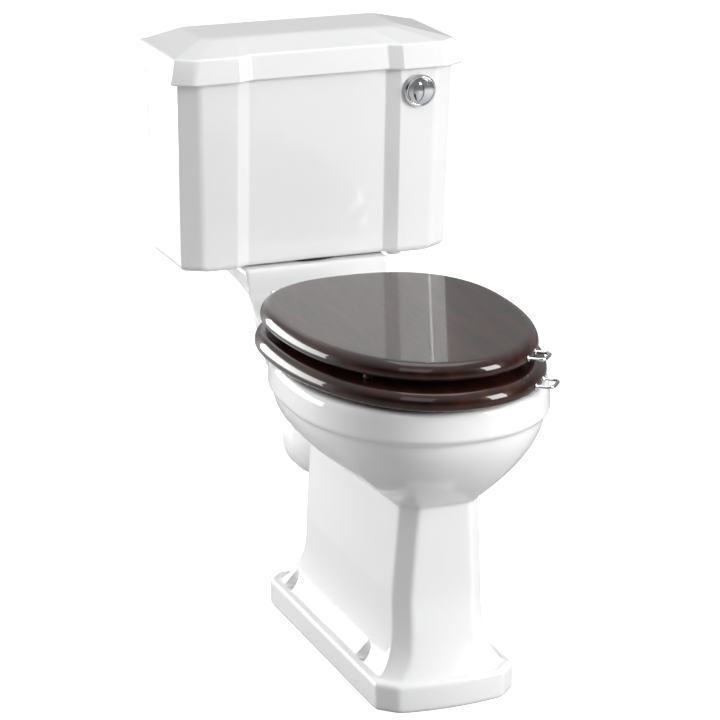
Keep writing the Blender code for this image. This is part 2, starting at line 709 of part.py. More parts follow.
# ---------------------------------------------------------------- flush valve
def make_flush_valve():
    floor = TANK_LOW + TANK_FLOOR
    place = (0, at(VALVE_DEPTH), 0)
    seat = floor + 0.016
    profile = [(0.0250, seat), (0.0330, seat), (0.0345, seat - 0.004), (0.0400, seat - 0.008),
               (0.0400, floor + 0.003 + GAP), (0.0300, floor + 0.003 + GAP), (0.0300, 0.462),
               (0.0250, 0.462)]
    body = turned("body", profile, place)
    top = 0.690
    head = washer("head", 0.0180, 0.0400, 0.008, (0, at(VALVE_DEPTH), top - 0.008))
    posts = []
    for i in range(4):
        turn = math.radians(45 + 90 * i)
        x, y = 0.0365 * math.cos(turn), at(VALVE_DEPTH) + 0.0365 * math.sin(turn)
        posts.append(cylinder("post", 0.0026, (x, y, seat - 0.006), (x, y, top - 0.003), 8))
    gland = cylinder("gland", 0.0045, (0.030, at(VALVE_DEPTH), top - 0.004),
                     (0.030, at(VALVE_DEPTH), top + 0.012), 12)
    join(body, head, *posts, gland)
    keep(body, "flush_valve_body", WHITE_PLASTIC)

    pipe_low = seat + 0.003 + 2 * GAP
    pipe = [(0.0120, 0.700), (0.0145, 0.700), (0.0145, pipe_low + 0.012), (0.0300, pipe_low + 0.004),
            (0.0300, pipe_low), (0.0120, pipe_low)]
    keep(turned("pipe", pipe, place), "flush_valve_standpipe", BLUE_PLASTIC)
    keep(washer("seal", 0.0130, 0.0310, 0.003, (0, at(VALVE_DEPTH), seat + GAP)),
         "flush_valve_seal", RUBBER)
    keep(washer("w", 0.0303, 0.0400, 0.003 - GAP, (0, at(VALVE_DEPTH), floor + GAP)),
         "flush_valve_washer", RUBBER)
    keep(washer("n", 0.0303, 0.0400, 0.012, (0, at(VALVE_DEPTH), TANK_LOW - 0.0124), sides=16),
         "flush_valve_back_nut", WHITE_PLASTIC)
    keep(washer("d", 0.0415, 0.0600, TANK_LOW - SHELF - 2 * GAP,
                (0, at(VALVE_DEPTH), SHELF + GAP)), "coupling_gasket", RUBBER)


def make_cable():
    y = at(VALVE_DEPTH)
    route = [button_point(-0.041), button_point(-0.052), (0.120, at(0.118), 0.738),
             (0.080, at(0.100), 0.742),
             (0.045, at(0.090), 0.735), (0.030, y, 0.722), (0.030, y, 0.690 + 0.012 + GAP)]
    cable = tube("cable", route, 0.0025, 2, smooth=True)
    keep(cable, "flush_cable", RUBBER)


# ---------------------------------------------------------------- coupling bolts
def wing_nut(name, place, bore, finish, size=1.0):
    """A wing nut whose top face is at the place."""
    x, y, z = place
    nut = washer("nut", bore + GAP, 0.0095 * size, 0.007 * size, (x, y, z - 0.007 * size), sides=12)
    for side in (-1, 1):
        reach = sorted((y + side * 0.0075 * size, y + side * 0.0165 * size))
        join(nut, box("wing", (x - 0.0016, reach[0], z - 0.010 * size),
                      (x + 0.0016, reach[1], z - 0.0015)))
    return keep(nut, name, finish)


def make_coupling_bolts():
    floor = TANK_LOW + TANK_FLOOR
    y = at(VALVE_DEPTH)
    under = SHELF - 0.014
    for side, label in ((-1, "left"), (1, "right")):
        x = side * BOLT_X
        bolt = [(0, floor + 0.009), (0.0085, floor + 0.0085), (0.0095, floor + 0.006),
                (0.0095, floor + 0.003 + GAP), (0.0040, floor + 0.003 + GAP), (0.0040, 0.444),
                (0, 0.444)]
        keep(turned("bolt", bolt, (x, y, 0), sides=12), f"coupling_bolt_{label}", BRASS)
        keep(washer("w", 0.0043, 0.0110, 0.003 - GAP, (x, y, floor + GAP), sides=12),
             f"coupling_washer_{label}", RUBBER)
        wing_nut(f"coupling_wing_nut_{label}", (x, y, under - GAP), 0.0040, BRASS)


# ---------------------------------------------------------------- fill valve
LEVER_PIVOT = 0.0215      # pivot in front of the valve's column
LEVER_REACH = 0.0275      # pivot to the float's rod
LEVER_Z = 0.686


def across_fill_valve(name, radius, half_length):
    """A round bar along X through the lever's pivot."""
    y = at(FILL_DEPTH) - LEVER_PIVOT
    return cylinder(name, radius, (FILL_X - half_length, y, LEVER_Z),
                    (FILL_X + half_length, y, LEVER_Z), 10)


def make_fill_valve():
    floor = TANK_LOW + TANK_FLOOR
    x, y = FILL_X, at(FILL_DEPTH)
    head = LEVER_Z - 0.014
    body = [(0, head + 0.022), (0.0140, head + 0.020), (0.0150, head), (0.0095, head - 0.006),
            (0.0095, floor + 0.030), (0.0150, floor + 0.020), (0.0190, floor + 0.012),
            (0.0190, floor + 0.003 + GAP), (0.0102, floor + 0.003 + GAP), (0.0102, 0.466),
            (0, 0.466)]
    column = turned("body", body, (x, y, 0), sides=20)
    for side in (-1, 1):
        low, high = sorted((x + side * 0.0036, x + side * 0.0064))
        join(column, box("ear", (low, y - LEVER_PIVOT - 0.006, head + 0.004),
                         (high, y - 0.008, head + 0.020)))
    cut(column, across_fill_valve("pin hole", 0.0019, 0.010))
    keep(column, "fill_valve_body", WHITE_PLASTIC)
    keep(across_fill_valve("pin", 0.0014, 0.0076), "fill_valve_pin", BRASS)
    keep(washer("w", 0.0105, 0.0190, 0.003 - GAP, (x, y, floor + GAP), sides=16),
         "fill_valve_washer", RUBBER)
    keep(washer("n", 0.0105, 0.0170, 0.009, (x, y, TANK_LOW - 0.0093), sides=12),
         "fill_valve_back_nut", WHITE_PLASTIC)
    make_float(x, y)
    make_lever(x, y - LEVER_PIVOT)


def make_float(x, y):
    """An upturned cup round the column, with a rod that pushes the lever up."""
    low, high = 0.575, 0.627
    cup = [(0.0110, high), (0.0240, high), (0.0260, high - 0.003), (0.0260, low), (0.0235, low),
           (0.0235, high - 0.008), (0.0110, high - 0.008)]
    made = turned("float", cup, (x, y, 0), sides=20)
    rod_y = y - LEVER_PIVOT - LEVER_REACH
    tip = LEVER_Z - 0.0035
    join(made, box("lug", (x - 0.004, rod_y - 0.003, high - 0.007),
                   (x + 0.004, y - 0.020, high - 0.001)),
         cylinder("rod", 0.0022, (x, rod_y, high - 0.004), (x, rod_y, tip - 0.004), 10),
         cylinder("rod tip", 0.0022, (x, rod_y, tip - 0.0045), (x, rod_y, tip), 10, 0.0006))
    keep(made, "fill_valve_float", BLUE_PLASTIC)


def make_lever(x, y):
    made = box("lever", (x - 0.0032, y - 0.0040, LEVER_Z - 0.0040),
               (x + 0.0032, y + 0.0040, LEVER_Z + 0.0040))
    join(made, box("arm", (x - 0.0032, y - LEVER_REACH - 0.006, LEVER_Z - 0.0025),
                   (x + 0.0032, y - 0.001, LEVER_Z + 0.0025)))
    cut(made, across_fill_valve("pin hole", 0.0019, 0.010))
    keep(made, "fill_valve_lever", WHITE_PLASTIC)


# ---------------------------------------------------------------- seat
def make_seat_boards():
    hole = [(x, y) for x, y in egg_loop(40, HOLE_HALF, HOLE_REAR, HOLE_FRONT, 2.3, 2.1)]
    ring = plate("seat_ring", egg_loop(60, RING_HALF, SEAT_REAR, RING_FRONT), [hole],
                 RING_LOW, RING_TOP, 0.0085)
    keep(ring, "seat_ring", WOOD)
    cover = plate("seat_lid", egg_loop(60, LID_HALF, SEAT_REAR, COVER_FRONT), [],
                  COVER_LOW, COVER_TOP, 0.0095)
    keep(cover, "seat_lid", WOOD)


def make_buffers():
    places = {"front": (0.112, 0.648), "rear": (0.138, 0.395)}
    for end, (x, depth) in places.items():
        for side, label in ((-1, "left"), (1, "right")):
            low = RIM + GAP
            pad = [(0, RING_LOW - GAP), (0.0080, RING_LOW - GAP), (0.0090, low + 0.0015),
                   (0.0080, low), (0, low)]
            keep(turned("pad", pad, (side * x, at(depth), 0), sides=14),
                 f"seat_buffer_{end}_{label}", RUBBER)
            low = RING_TOP + GAP
            pad = [(0, COVER_LOW - GAP), (0.0065, COVER_LOW - GAP), (0.0075, low + 0.002),
                   (0.0060, low), (0, low)]
            keep(turned("pad", pad, (side * (x - 0.006), at(depth - 0.012), 0), sides=12),
                 f"lid_buffer_{end}_{label}", RUBBER)


def edge_frame(half, front, turn):
    """Point and outward direction on a seat board's front quarter, right side."""
    reach = front - SEAT_MIDDLE
    x, depth = egg_point(math.pi / 2 + turn, half, SEAT_MIDDLE, SEAT_REAR, front,
                         REAR_ROUNDING, 2.15)
    outward = Vector((math.cos(turn) / half, -math.sin(turn) / reach, 0)).normalized()
    return Vector((x, at(depth), 0)), outward


def make_handle(name, half, front, z):
    """A D shaped loop of rod that stands out of a board's edge."""
    middle, outward = edge_frame(half, front, HANDLE_ANGLE)
    along = Vector((-outward.y, outward.x, 0))
    loop = []
    for i in range(13):
        turn = math.pi * i / 12
        loop.append((0.0185 * math.cos(turn), 0.0215 * math.sin(turn) ** 0.75))
    route = [middle + outward * (0.0012 + out) + along * side + Vector((0, 0, z))
             for side, out in loop]
    keep(tube("loop", route, 0.0024, 2), name, CHROME)


def eye(x_low, x_high):
    """A knuckle of a hinge bracket, bored for the rod."""
    width = x_high - x_low
    return washer("eye", ROD_RADIUS + GAP, 0.0085, width, (x_low, at(HINGE_DEPTH), HINGE_Z),
                  (1, 0, 0), 16)


def bracket(name, x_low, x_high, z_low, z_high, start):
    """An eye on the rod with a strap running forward, from a way before the axis."""
    knuckle = eye(x_low, x_high)
    join(knuckle, box("strap", (x_low, at(STRAP_END), z_low),
                      (x_high, at(HINGE_DEPTH + start), z_high)))
    return keep(knuckle, name, CHROME)


def make_hinges():
    y, z = at(HINGE_DEPTH), HINGE_Z
    keep(cylinder("rod", ROD_RADIUS, (-0.096, y, z), (0.096, y, z), 16), "hinge_rod", CHROME)
    for side, label in ((-1, "left"), (1, "right")):
        x = side * PILLAR_X
        base = RIM + 0.0015 + GAP
        post = [(0, z - 0.003), (0.0070, z - 0.003), (0.0062, z - 0.012), (0.0070, base + 0.008),
                (0.0125, base + 0.003), (0.0130, base), (0.0045, base), (0.0045, 0.398),
                (0, 0.398)]
        pillar = turned("post", post, (x, y, 0), sides=20)
        head = cylinder("head", 0.0092, (x - 0.0085, y, z), (x + 0.0085, y, z), 20)
        join(pillar, head)
        cut(pillar, cylinder("bore", ROD_RADIUS + GAP, (x - 0.02, y, z), (x + 0.02, y, z), 16))
        keep(pillar, f"hinge_pillar_{label}", CHROME)
        keep(washer("w", 0.0050, 0.0125, 0.0015 - GAP, (x, y, RIM + GAP), sides=16),
             f"hinge_washer_{label}", RUBBER)
        wing_nut(f"hinge_wing_nut_{label}", (x, y, RIM - 0.012 - GAP), 0.0045, CHROME)
        cap_x = sorted((side * (0.096 + GAP), side * 0.100))
        keep(cylinder("cap", 0.0068, (cap_x[0], y, z), (cap_x[1], y, z), 16),
             f"rod_cap_{label}", CHROME)
        seat = sorted((side * 0.067, side * 0.056))
        bracket(f"seat_hinge_bracket_{label}", *seat, RING_TOP + GAP, RING_TOP + 0.0024, 0.0)
        cover = sorted((side * 0.055, side * 0.044))
        bracket(f"lid_hinge_bracket_{label}", *cover, COVER_LOW - 0.0028, COVER_LOW - GAP, 0.0068)


# ---------------------------------------------------------------- joints
def on_joint(name, place, *pieces):
    """Hang the pieces that move together from an empty on their joint's axis."""
    pivot = bpy.data.objects.new(name, None)
    pivot.location = place
    pivot.empty_display_size = 0.02
    PARTS.objects.link(pivot)
    for piece in pieces:
        made = PARTS.objects[piece]
        made.parent = pivot
        made.matrix_parent_inverse = Matrix.Translation(place).inverted()


def board_pieces(board):
    """Everything that turns with the seat ring or with the lid."""
    ends = [f"{end}_{side}" for end in ("front", "rear") for side in ("left", "right")]
    return ([f"{board}_buffer_{end}" for end in ends] + [f"{board}_handle"]
            + [f"{board}_hinge_bracket_{side}" for side in ("left", "right")])


def hang_moving_pieces():
    hinge = (0, at(HINGE_DEPTH), HINGE_Z)
    valve = (0, at(VALVE_DEPTH), TANK_LOW + TANK_FLOOR)
    on_joint("seat_hinge", hinge, "seat_ring", *board_pieces("seat"))
    on_joint("lid_hinge", hinge, "seat_lid", *board_pieces("lid"))
    on_joint("large_button_slide", button_point(0), "large_flush_button")
    on_joint("small_button_slide", button_point(0), "small_flush_button")
    on_joint("cistern_lid_lift", (0, at(VALVE_DEPTH), TANK_TOP), "cistern_lid")
    on_joint("flush_valve_lift", valve, "flush_valve_standpipe", "flush_valve_seal")
    on_joint("float_lift", (FILL_X, at(FILL_DEPTH), LEVER_Z), "fill_valve_float")
    on_joint("float_lever_hinge", (FILL_X, at(FILL_DEPTH) - LEVER_PIVOT, LEVER_Z),
             "fill_valve_lever")


def main():
    make_pan()
    make_tank()
    make_cistern_lid()
    make_buttons()
    make_flush_valve()
    make_cable()
    make_coupling_bolts()
    make_fill_valve()
    make_seat_boards()
    make_buffers()
    make_handle("seat_handle", RING_HALF, RING_FRONT, (RING_LOW + RING_TOP) / 2 - HANDLE_DROP)
    make_handle("lid_handle", LID_HALF, COVER_FRONT, (COVER_LOW + COVER_TOP) / 2 - HANDLE_DROP)
    make_hinges()
    hang_moving_pieces()


main()
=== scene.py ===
"""Looks of the close coupled toilet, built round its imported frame.

Metres, +Z up.  The front faces -Y and the wall is at +Y.  Depths are measured
from the wall and turned into Y by at().  Sizes come from the frame's own boxes,
or from the driving dimensions below.
"""

import math

import bmesh
import bpy
import numpy as np
from mathutils import Matrix, Vector


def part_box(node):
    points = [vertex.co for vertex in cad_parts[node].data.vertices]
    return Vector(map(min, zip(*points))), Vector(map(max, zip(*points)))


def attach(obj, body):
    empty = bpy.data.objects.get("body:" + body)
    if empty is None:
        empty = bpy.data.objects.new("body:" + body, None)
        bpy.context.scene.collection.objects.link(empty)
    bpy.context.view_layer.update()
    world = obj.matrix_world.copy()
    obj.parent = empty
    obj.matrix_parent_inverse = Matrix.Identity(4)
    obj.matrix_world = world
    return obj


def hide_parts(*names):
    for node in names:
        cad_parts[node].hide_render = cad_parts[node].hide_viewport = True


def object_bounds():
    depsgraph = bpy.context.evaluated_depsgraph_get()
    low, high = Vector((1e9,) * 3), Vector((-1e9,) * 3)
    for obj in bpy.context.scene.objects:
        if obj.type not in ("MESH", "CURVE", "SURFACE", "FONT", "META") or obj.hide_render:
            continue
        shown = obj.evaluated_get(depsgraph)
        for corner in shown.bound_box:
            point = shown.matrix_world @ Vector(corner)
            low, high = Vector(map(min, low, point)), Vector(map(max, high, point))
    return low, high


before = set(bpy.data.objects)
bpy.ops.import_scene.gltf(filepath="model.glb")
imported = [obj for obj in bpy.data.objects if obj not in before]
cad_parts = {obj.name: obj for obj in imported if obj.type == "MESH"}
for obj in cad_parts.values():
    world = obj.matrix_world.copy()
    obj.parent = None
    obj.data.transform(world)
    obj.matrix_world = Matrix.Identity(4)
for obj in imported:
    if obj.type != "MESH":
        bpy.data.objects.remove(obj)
CAD_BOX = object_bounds()

# ---------------------------------------------------------------- from the frame
WALL_Y = CAD_BOX[1].y
HEIGHT = CAD_BOX[1].z
GAP = 0.0003


def low_of(node):
    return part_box(node)[0]


def high_of(node):
    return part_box(node)[1]


def at(depth):
    """World Y of a depth from the wall."""
    return WALL_Y - depth


def depth_of(y):
    return WALL_Y - y


# ---------------------------------------------------------------- pan
FOOT_HEIGHT, FOOT_HALF = 0.040, 0.100
FOOT_REAR, FOOT_FRONT = 0.196, 0.658
FOOT_BOW = 0.008
STEM_LOW, STEM_TOP = 0.150, 0.275
STEM_HALF, STEM_REAR, STEM_FRONT = 0.065, 0.262, 0.626
STEM_TAPER = 0.008        # the stem narrows and leans forward by this up to the bowl
BOWL_FULLNESS = 1.7       # 1 is a straight cone, more is a rounder bowl
SIDE_FLARE = 4.0          # more keeps the foot's side ledges flatter
END_FLARE = 2.3           # the same, for its front and rear
LEDGE = 0.395
RIM = low_of("hinge_washer_left").z - GAP
BAND_HALF, BAND_MIDDLE = 0.1735, 0.520
BAND_REAR, BAND_FRONT = 0.285, 0.732
SHELF = low_of("coupling_gasket").z - GAP
SHELF_HALF, SHELF_FRONT = 0.110, 0.165
OUTLET_HEIGHT, OUTLET_RADIUS, OUTLET_END = 0.222, 0.051, 0.140
TRAP_BORE = 0.038
FIX_X, FIX_DEPTHS = 0.083, (0.265, 0.550)
POCKET_RADIUS, POCKET_END, POCKET_TOP = 0.0135, 0.0040, 0.090
BOLT_HOLE = 0.0055        # radius of the floor, hinge and coupling bolt holes
DUCT_WALL = 0.010         # china round the flush duct
PAN_TRIANGLES = 180000
SHARP_ANGLE = math.radians(35)   # edges sharper than this stay sharp, or take a bevel

# ---------------------------------------------------------------- cistern
TANK_LOW, TANK_TOP = low_of("cistern_tank").z, high_of("cistern_tank").z
TANK_HALF_LOW, TANK_HALF_TOP = 0.1995, high_of("cistern_tank").x
TANK_FRONT_LOW, TANK_FRONT_TOP = 0.163, 0.181
TANK_REAR = depth_of(high_of("cistern_tank").y)
TANK_WALL, TANK_FLOOR = 0.010, 0.012
CANT_X, CANT_Y = 0.028, 0.018
STEP_OUT, STEP_IN, RECESS = 0.121, 0.102, 0.011
LID_LOW, LID_EDGE = low_of("cistern_lid").z, 0.798
LID_HALF_LOW, LID_HALF_TOP = high_of("cistern_lid").x, 0.210
LID_FRONT_LOW, LID_FRONT_TOP = 0.193, 0.187
PANEL_HALF, PANEL_FRONT = 0.138, 0.095
VALVE_DEPTH, BOLT_X = 0.088, 0.075
FILL_X, FILL_DEPTH = 0.148, 0.078
WALL_FIX_X, WALL_FIX_Z = 0.120, 0.715
WALL_HOLE, FLUSH_HOLE, FILL_HOLE = 0.0040, 0.0315, 0.0110

# ---------------------------------------------------------------- flush button
BUTTON_X, BUTTON_Z = 0.1485, 0.729
BEZEL_RADIUS, BARREL_RADIUS, BUTTON_RADIUS = 0.0235, 0.0175, 0.0190
BUTTON_LOW, BUTTON_FACE = 0.0069, 0.0089
BEZEL_RIM, CUP_FLOOR, BARREL_END = 0.0084, 0.0024, -0.022
LENS_X, LENS_HALF_WIDTH, LENS_HALF_HEIGHT = -0.004, 0.0078, 0.0150

# ---------------------------------------------------------------- seat
RING_HALF, LID_HALF = high_of("seat_ring").x, high_of("seat_lid").x
SEAT_MIDDLE = 0.451
SEAT_REAR = depth_of(high_of("seat_ring").y)
RING_FRONT = depth_of(low_of("seat_ring").y)
COVER_FRONT = depth_of(low_of("seat_lid").y)
RING_LOW, RING_TOP = low_of("seat_ring").z, high_of("seat_ring").z
COVER_LOW, COVER_TOP = low_of("seat_lid").z, high_of("seat_lid").z
HOLE_HALF, HOLE_REAR, HOLE_FRONT = 0.112, 0.325, 0.655
BULLNOSE_TOP, BULLNOSE_LOW = 0.0165, 0.0060   # how far a board's rounded edge reaches in
BULLNOSE_SPLIT = 0.34     # share of a board's thickness that the lower rounding takes
HANDLE_ANGLE = math.radians(54)
HANDLE_DROP = 0.0035      # handles stand this far below the middle of a board's edge
HANDLE_ROD = 0.0024
HANDLE_HALF, HANDLE_REACH = 0.0165, 0.0215

# ---------------------------------------------------------------- camera
CAMERA_PLACE = (-1.4319, -3.7093, 1.6135)
CAMERA_AZIMUTH, CAMERA_ELEVATION = math.radians(-22.26), math.radians(17.4)
CAMERA_LENS = 151.15
CAMERA_SHIFT = (-0.0974, 0.0318)


# ---------------------------------------------------------------- mesh helpers
def from_bmesh(name, mesh):
    data = bpy.data.meshes.new(name)
    mesh.to_mesh(data)
    mesh.free()
    made = bpy.data.objects.new(name, data)
    bpy.context.scene.collection.objects.link(made)
    return made


def loft(name, rings, closed=False):
    """Skin a stack of rings of equal count.  Closed joins the last to the first."""
    mesh = bmesh.new()
    rows = [[mesh.verts.new(point) for point in ring] for ring in rings]
    count = len(rows[0])
    pairs = list(zip(rows, rows[1:])) + ([(rows[-1], rows[0])] if closed else [])
    for low, high in pairs:
        for i in range(count):
            j = (i + 1) % count
            mesh.faces.new((low[i], low[j], high[j], high[i]))
    if not closed:
        mesh.faces.new(rows[0][::-1])
        mesh.faces.new(rows[-1])
    bmesh.ops.recalc_face_normals(mesh, faces=mesh.faces)
    return from_bmesh(name, mesh)


def turned(name, profile, place, axis=(0, 0, 1), sides=64, edge=0.0006):
    """A closed (radius, height) profile with softened corners, spun round an axis."""
    points = rounded(profile, [edge] * len(profile), 3)
    points = [(max(r, 0.0), h) for r, h in points]
    mesh = bmesh.new()
    rows = []
    for i in range(sides):
        turn = 2 * math.pi * i / sides
        rows.append([mesh.verts.new((r * math.cos(turn), r * math.sin(turn), h))
                     for r, h in points])
    for row, after in zip(rows, rows[1:] + rows[:1]):
        for j in range(len(points)):
            k = (j + 1) % len(points)
            mesh.faces.new((row[j], row[k], after[k], after[j]))
    bmesh.ops.remove_doubles(mesh, verts=mesh.verts, dist=0.00002)
    bmesh.ops.dissolve_degenerate(mesh, edges=mesh.edges, dist=0.00001)
    bmesh.ops.recalc_face_normals(mesh, faces=mesh.faces)
    made = from_bmesh(name, mesh)
    turn = Vector(axis).to_track_quat("Z", "Y").to_matrix().to_4x4()
    made.data.transform(Matrix.Translation(place) @ turn)
    return made


def bar(name, radius, start, end, sides=32, end_radius=None):
    """A plain round cutter between two points."""
    span = Vector(end) - Vector(start)
    mesh = bmesh.new()
    bmesh.ops.create_cone(mesh, cap_ends=True, segments=sides, radius1=radius,
                          radius2=radius if end_radius is None else end_radius,
                          depth=span.length)
    made = from_bmesh(name, mesh)
    turn = span.to_track_quat("Z", "Y").to_matrix().to_4x4()
    made.data.transform(Matrix.Translation((Vector(start) + Vector(end)) / 2) @ turn)
    return made


def block(name, low, high):
    low, high = Vector(low), Vector(high)
    mesh = bmesh.new()
    bmesh.ops.create_cube(mesh, size=1.0)
    bmesh.ops.scale(mesh, vec=high - low, verts=mesh.verts)
    bmesh.ops.translate(mesh, vec=(low + high) / 2, verts=mesh.verts)
    return from_bmesh(name, mesh)


def tube(name, route, radius, sides=24):
    """A round tube; radius is one value or one for each point of the route."""
    route = [Vector(point) for point in route]
    sizes = radius if isinstance(radius, (list, tuple)) else [radius] * len(route)
    rings = []
    side = None
    for i, (point, size) in enumerate(zip(route, sizes)):
        ahead = (route[min(i + 1, len(route) - 1)] - route[max(i - 1, 0)]).normalized()
        if side is None:
            side = ahead.orthogonal().normalized()
        side = (side - ahead * side.dot(ahead)).normalized()
        other = ahead.cross(side)
        turns = [2 * math.pi * k / sides for k in range(sides)]
        rings.append([point + (side * math.cos(t) + other * math.sin(t)) * size for t in turns])
    return loft(name, rings)


def smooth_route(points, steps=12):
    """Catmull-Rom points through a given route."""
    route = [Vector(p) for p in points]
    ends = [route[0] * 2 - route[1], *route, route[-1] * 2 - route[-2]]
    made = []
    for a, b, c, d in zip(ends, ends[1:], ends[2:], ends[3:]):
        for step in range(steps):
            t = step / steps
            made.append(0.5 * (2 * b + (c - a) * t + (2 * a - 5 * b + 4 * c - d) * t * t
                               + (3 * b - a - 3 * c + d) * t ** 3))
    return made + [route[-1]]


def settle(obj):
    """Turn an object's modifiers into its own mesh."""
    graph = bpy.context.evaluated_depsgraph_get()
    data = bpy.data.meshes.new_from_object(obj.evaluated_get(graph), depsgraph=graph)
    obj.modifiers.clear()
    obj.data = data
    return obj


def combine(target, operation, *others):
    for other in others:
        step = target.modifiers.new("shape", "BOOLEAN")
        step.operation = operation
        step.solver = "EXACT"
        step.object = other
    settle(target)
    for other in others:
        bpy.data.objects.remove(other, do_unlink=True)
    return target


def cut(target, *others):
    return combine(target, "DIFFERENCE", *others)


def join(target, *others):
    return combine(target, "UNION", *others)


def bevelled(obj, width, segments=3):
    step = obj.modifiers.new("edges", "BEVEL")
    step.width = width
    step.segments = segments
    step.limit_method = "ANGLE"
    step.angle_limit = SHARP_ANGLE
    return obj


# ---------------------------------------------------------------- outlines
def rounded(points, radii, steps=6):
    """A closed polygon with each corner made an arc of steps + 1 points."""
    made = []
    count = len(points)
    for i, radius in enumerate(radii):
        radius = max(radius, 0.00001)
        here = Vector(points[i])
        before, after = Vector(points[i - 1]) - here, Vector(points[(i + 1) % count]) - here
        half = before.angle(after) / 2
        reach = min(radius / math.tan(half) if half > 1e-3 else radius,
                    0.45 * before.length, 0.45 * after.length)
        if math.pi / 2 - half < 1e-3:
            made += [here + before.normalized() * reach * (1 - 2 * k / steps)
                     for k in range(steps + 1)]
            continue
        middle = here + (before.normalized() + after.normalized()).normalized() * (
            reach / math.cos(half))
        size = reach * math.tan(half)
        first = here + before.normalized() * reach - middle
        last = here + after.normalized() * reach - middle
        span = math.pi - 2 * half
        for k in range(steps + 1):
            turn = span * k / steps
            spoke = first * math.sin(span - turn) + last * math.sin(turn)
            made.append(middle + spoke.normalized() * size)
    return [tuple(point) for point in made]


def whole(corners, radii, steps=6):
    """Right half corners (x, depth), rear to front, mirrored and rounded to a whole outline."""
    loop = corners + [(-x, depth) for x, depth in corners[::-1]]
    return rounded(loop, radii + radii[::-1], steps)


def lift(outline, z):
    return [Vector((x, at(depth), z)) for x, depth in outline]


def between(first, second, share):
    return [(ax + (bx - ax) * share, ay + (by - ay) * share)
            for (ax, ay), (bx, by) in zip(first, second)]


FINE = 6
SPANS = tuple(count * FINE for count in (3, 3, 7, 3, 3))
EGG_TURNS = (0, 28, 60, 122, 150, 180)


def spread(corners):
    made = []
    for (ax, ay), (bx, by), count in zip(corners, corners[1:], SPANS):
        made += [(ax + (bx - ax) * i / count, ay + (by - ay) * i / count) for i in range(count)]
    return made + [corners[-1]]


def canted_half(half, rear, front, bow=0.0, corner=0.020, cant=0.025):
    """Right half of a rectangle with a cut rear corner and a canted, bowed front."""
    points = spread([(0, rear), (half - corner, rear), (half, rear + corner),
                     (half, front - cant), (half - cant, front), (0, front)])
    reach = half - cant
    return [(x, d + bow * (1 - (x / reach) ** 2)) if d >= front - 1e-9 else (x, d)
            for x, d in points]


def egg_point(turn, half, middle, rear, front, rear_power=2.6, front_power=2.15):
    back = math.cos(turn) > 0
    power = rear_power if back else front_power
    reach = (middle - rear) if back else (front - middle)
    x = half * abs(math.sin(turn)) ** (2 / power)
    run = reach * abs(math.cos(turn)) ** (2 / power)
    return x, (middle - run if back else middle + run)


def egg_half(half, middle, rear, front, rear_power=2.6, front_power=2.15):
    made = []
    for low, high, count in zip(EGG_TURNS, EGG_TURNS[1:], SPANS):
        for i in range(count + (1 if high == 180 else 0)):
            turn = math.radians(low + (high - low) * i / count)
            made.append(egg_point(turn, half, middle, rear, front, rear_power, front_power))
    return made


def egg_loop(count, half, rear, front, rear_power=2.4, front_power=2.15):
    made = []
    for i in range(count):
        turn = 2 * math.pi * i / count
        x, depth = egg_point(turn, half, SEAT_MIDDLE, rear, front, rear_power, front_power)
        made.append((math.copysign(x, math.sin(turn)), depth))
    return made


def even(loop, count):
    """The same closed outline with its points evenly spaced."""
    points = np.array(list(loop) + [loop[0]])
    length = np.concatenate([[0], np.cumsum(np.hypot(*np.diff(points, axis=0).T))])
    places = np.linspace(0, length[-1], count, endpoint=False)
    return [(float(np.interp(p, length, points[:, 0])), float(np.interp(p, length, points[:, 1])))
            for p in places]


def inset(loop, distance):
    """A closed outline moved inwards along its own normals."""
    points = np.array(loop)
    ahead = np.roll(points, -1, axis=0) - np.roll(points, 1, axis=0)
    normal = np.stack([-ahead[:, 1], ahead[:, 0]], axis=1)
    normal /= np.linalg.norm(normal, axis=1)[:, None]
    if np.mean(np.sum(normal * (points.mean(axis=0) - points), axis=1)) < 0:
        normal = -normal
    return [tuple(p) for p in points + normal * distance]


def soft_ring(half, z, reach=0.004):
    """A whole ring from a right half, its corners rounded over a reach."""
    right = list(half)
    loop = np.array(right + [(-x, d) for x, d in right[1:-1]][::-1])
    if reach:
        closed = np.vstack([loop, loop[:1]])
        length = np.concatenate([[0], np.cumsum(np.hypot(*np.diff(closed, axis=0).T))])
        total = length[-1]
        places = length[:-1]
        made = np.zeros_like(loop)
        offsets = np.linspace(-reach, reach, 9)
        for offset in offsets:
            where = (places + offset) % total
            made[:, 0] += np.interp(where, length, closed[:, 0]) / len(offsets)
            made[:, 1] += np.interp(where, length, closed[:, 1]) / len(offsets)
        loop = made
    return [Vector((float(x), at(float(d)), z)) for x, d in loop]


# ---------------------------------------------------------------- materials
def shader_of(name, roughness, metallic=0.0, coat=0.0, coat_roughness=0.03, ior=1.5):
    made = bpy.data.materials.new(name)
    made.use_nodes = True
    shader = made.node_tree.nodes["Principled BSDF"]
    shader.inputs["Roughness"].default_value = roughness
    shader.inputs["Metallic"].default_value = metallic
    shader.inputs["Coat Weight"].default_value = coat
    shader.inputs["Coat Roughness"].default_value = coat_roughness
    shader.inputs["IOR"].default_value = ior
    return made, shader


def noise(tree, scale, detail=3.0, stretch=(1, 1, 1)):
    """A noise in the object's own coordinates, stretched along its axes."""
    place = tree.nodes.new("ShaderNodeTexCoord")
    sized = tree.nodes.new("ShaderNodeMapping")
    sized.inputs["Scale"].default_value = stretch
    made = tree.nodes.new("ShaderNodeTexNoise")
    made.inputs["Scale"].default_value = scale
    made.inputs["Detail"].default_value = detail
    tree.links.new(place.outputs["Object"], sized.inputs["Vector"])
    tree.links.new(sized.outputs["Vector"], made.inputs["Vector"])
    return made


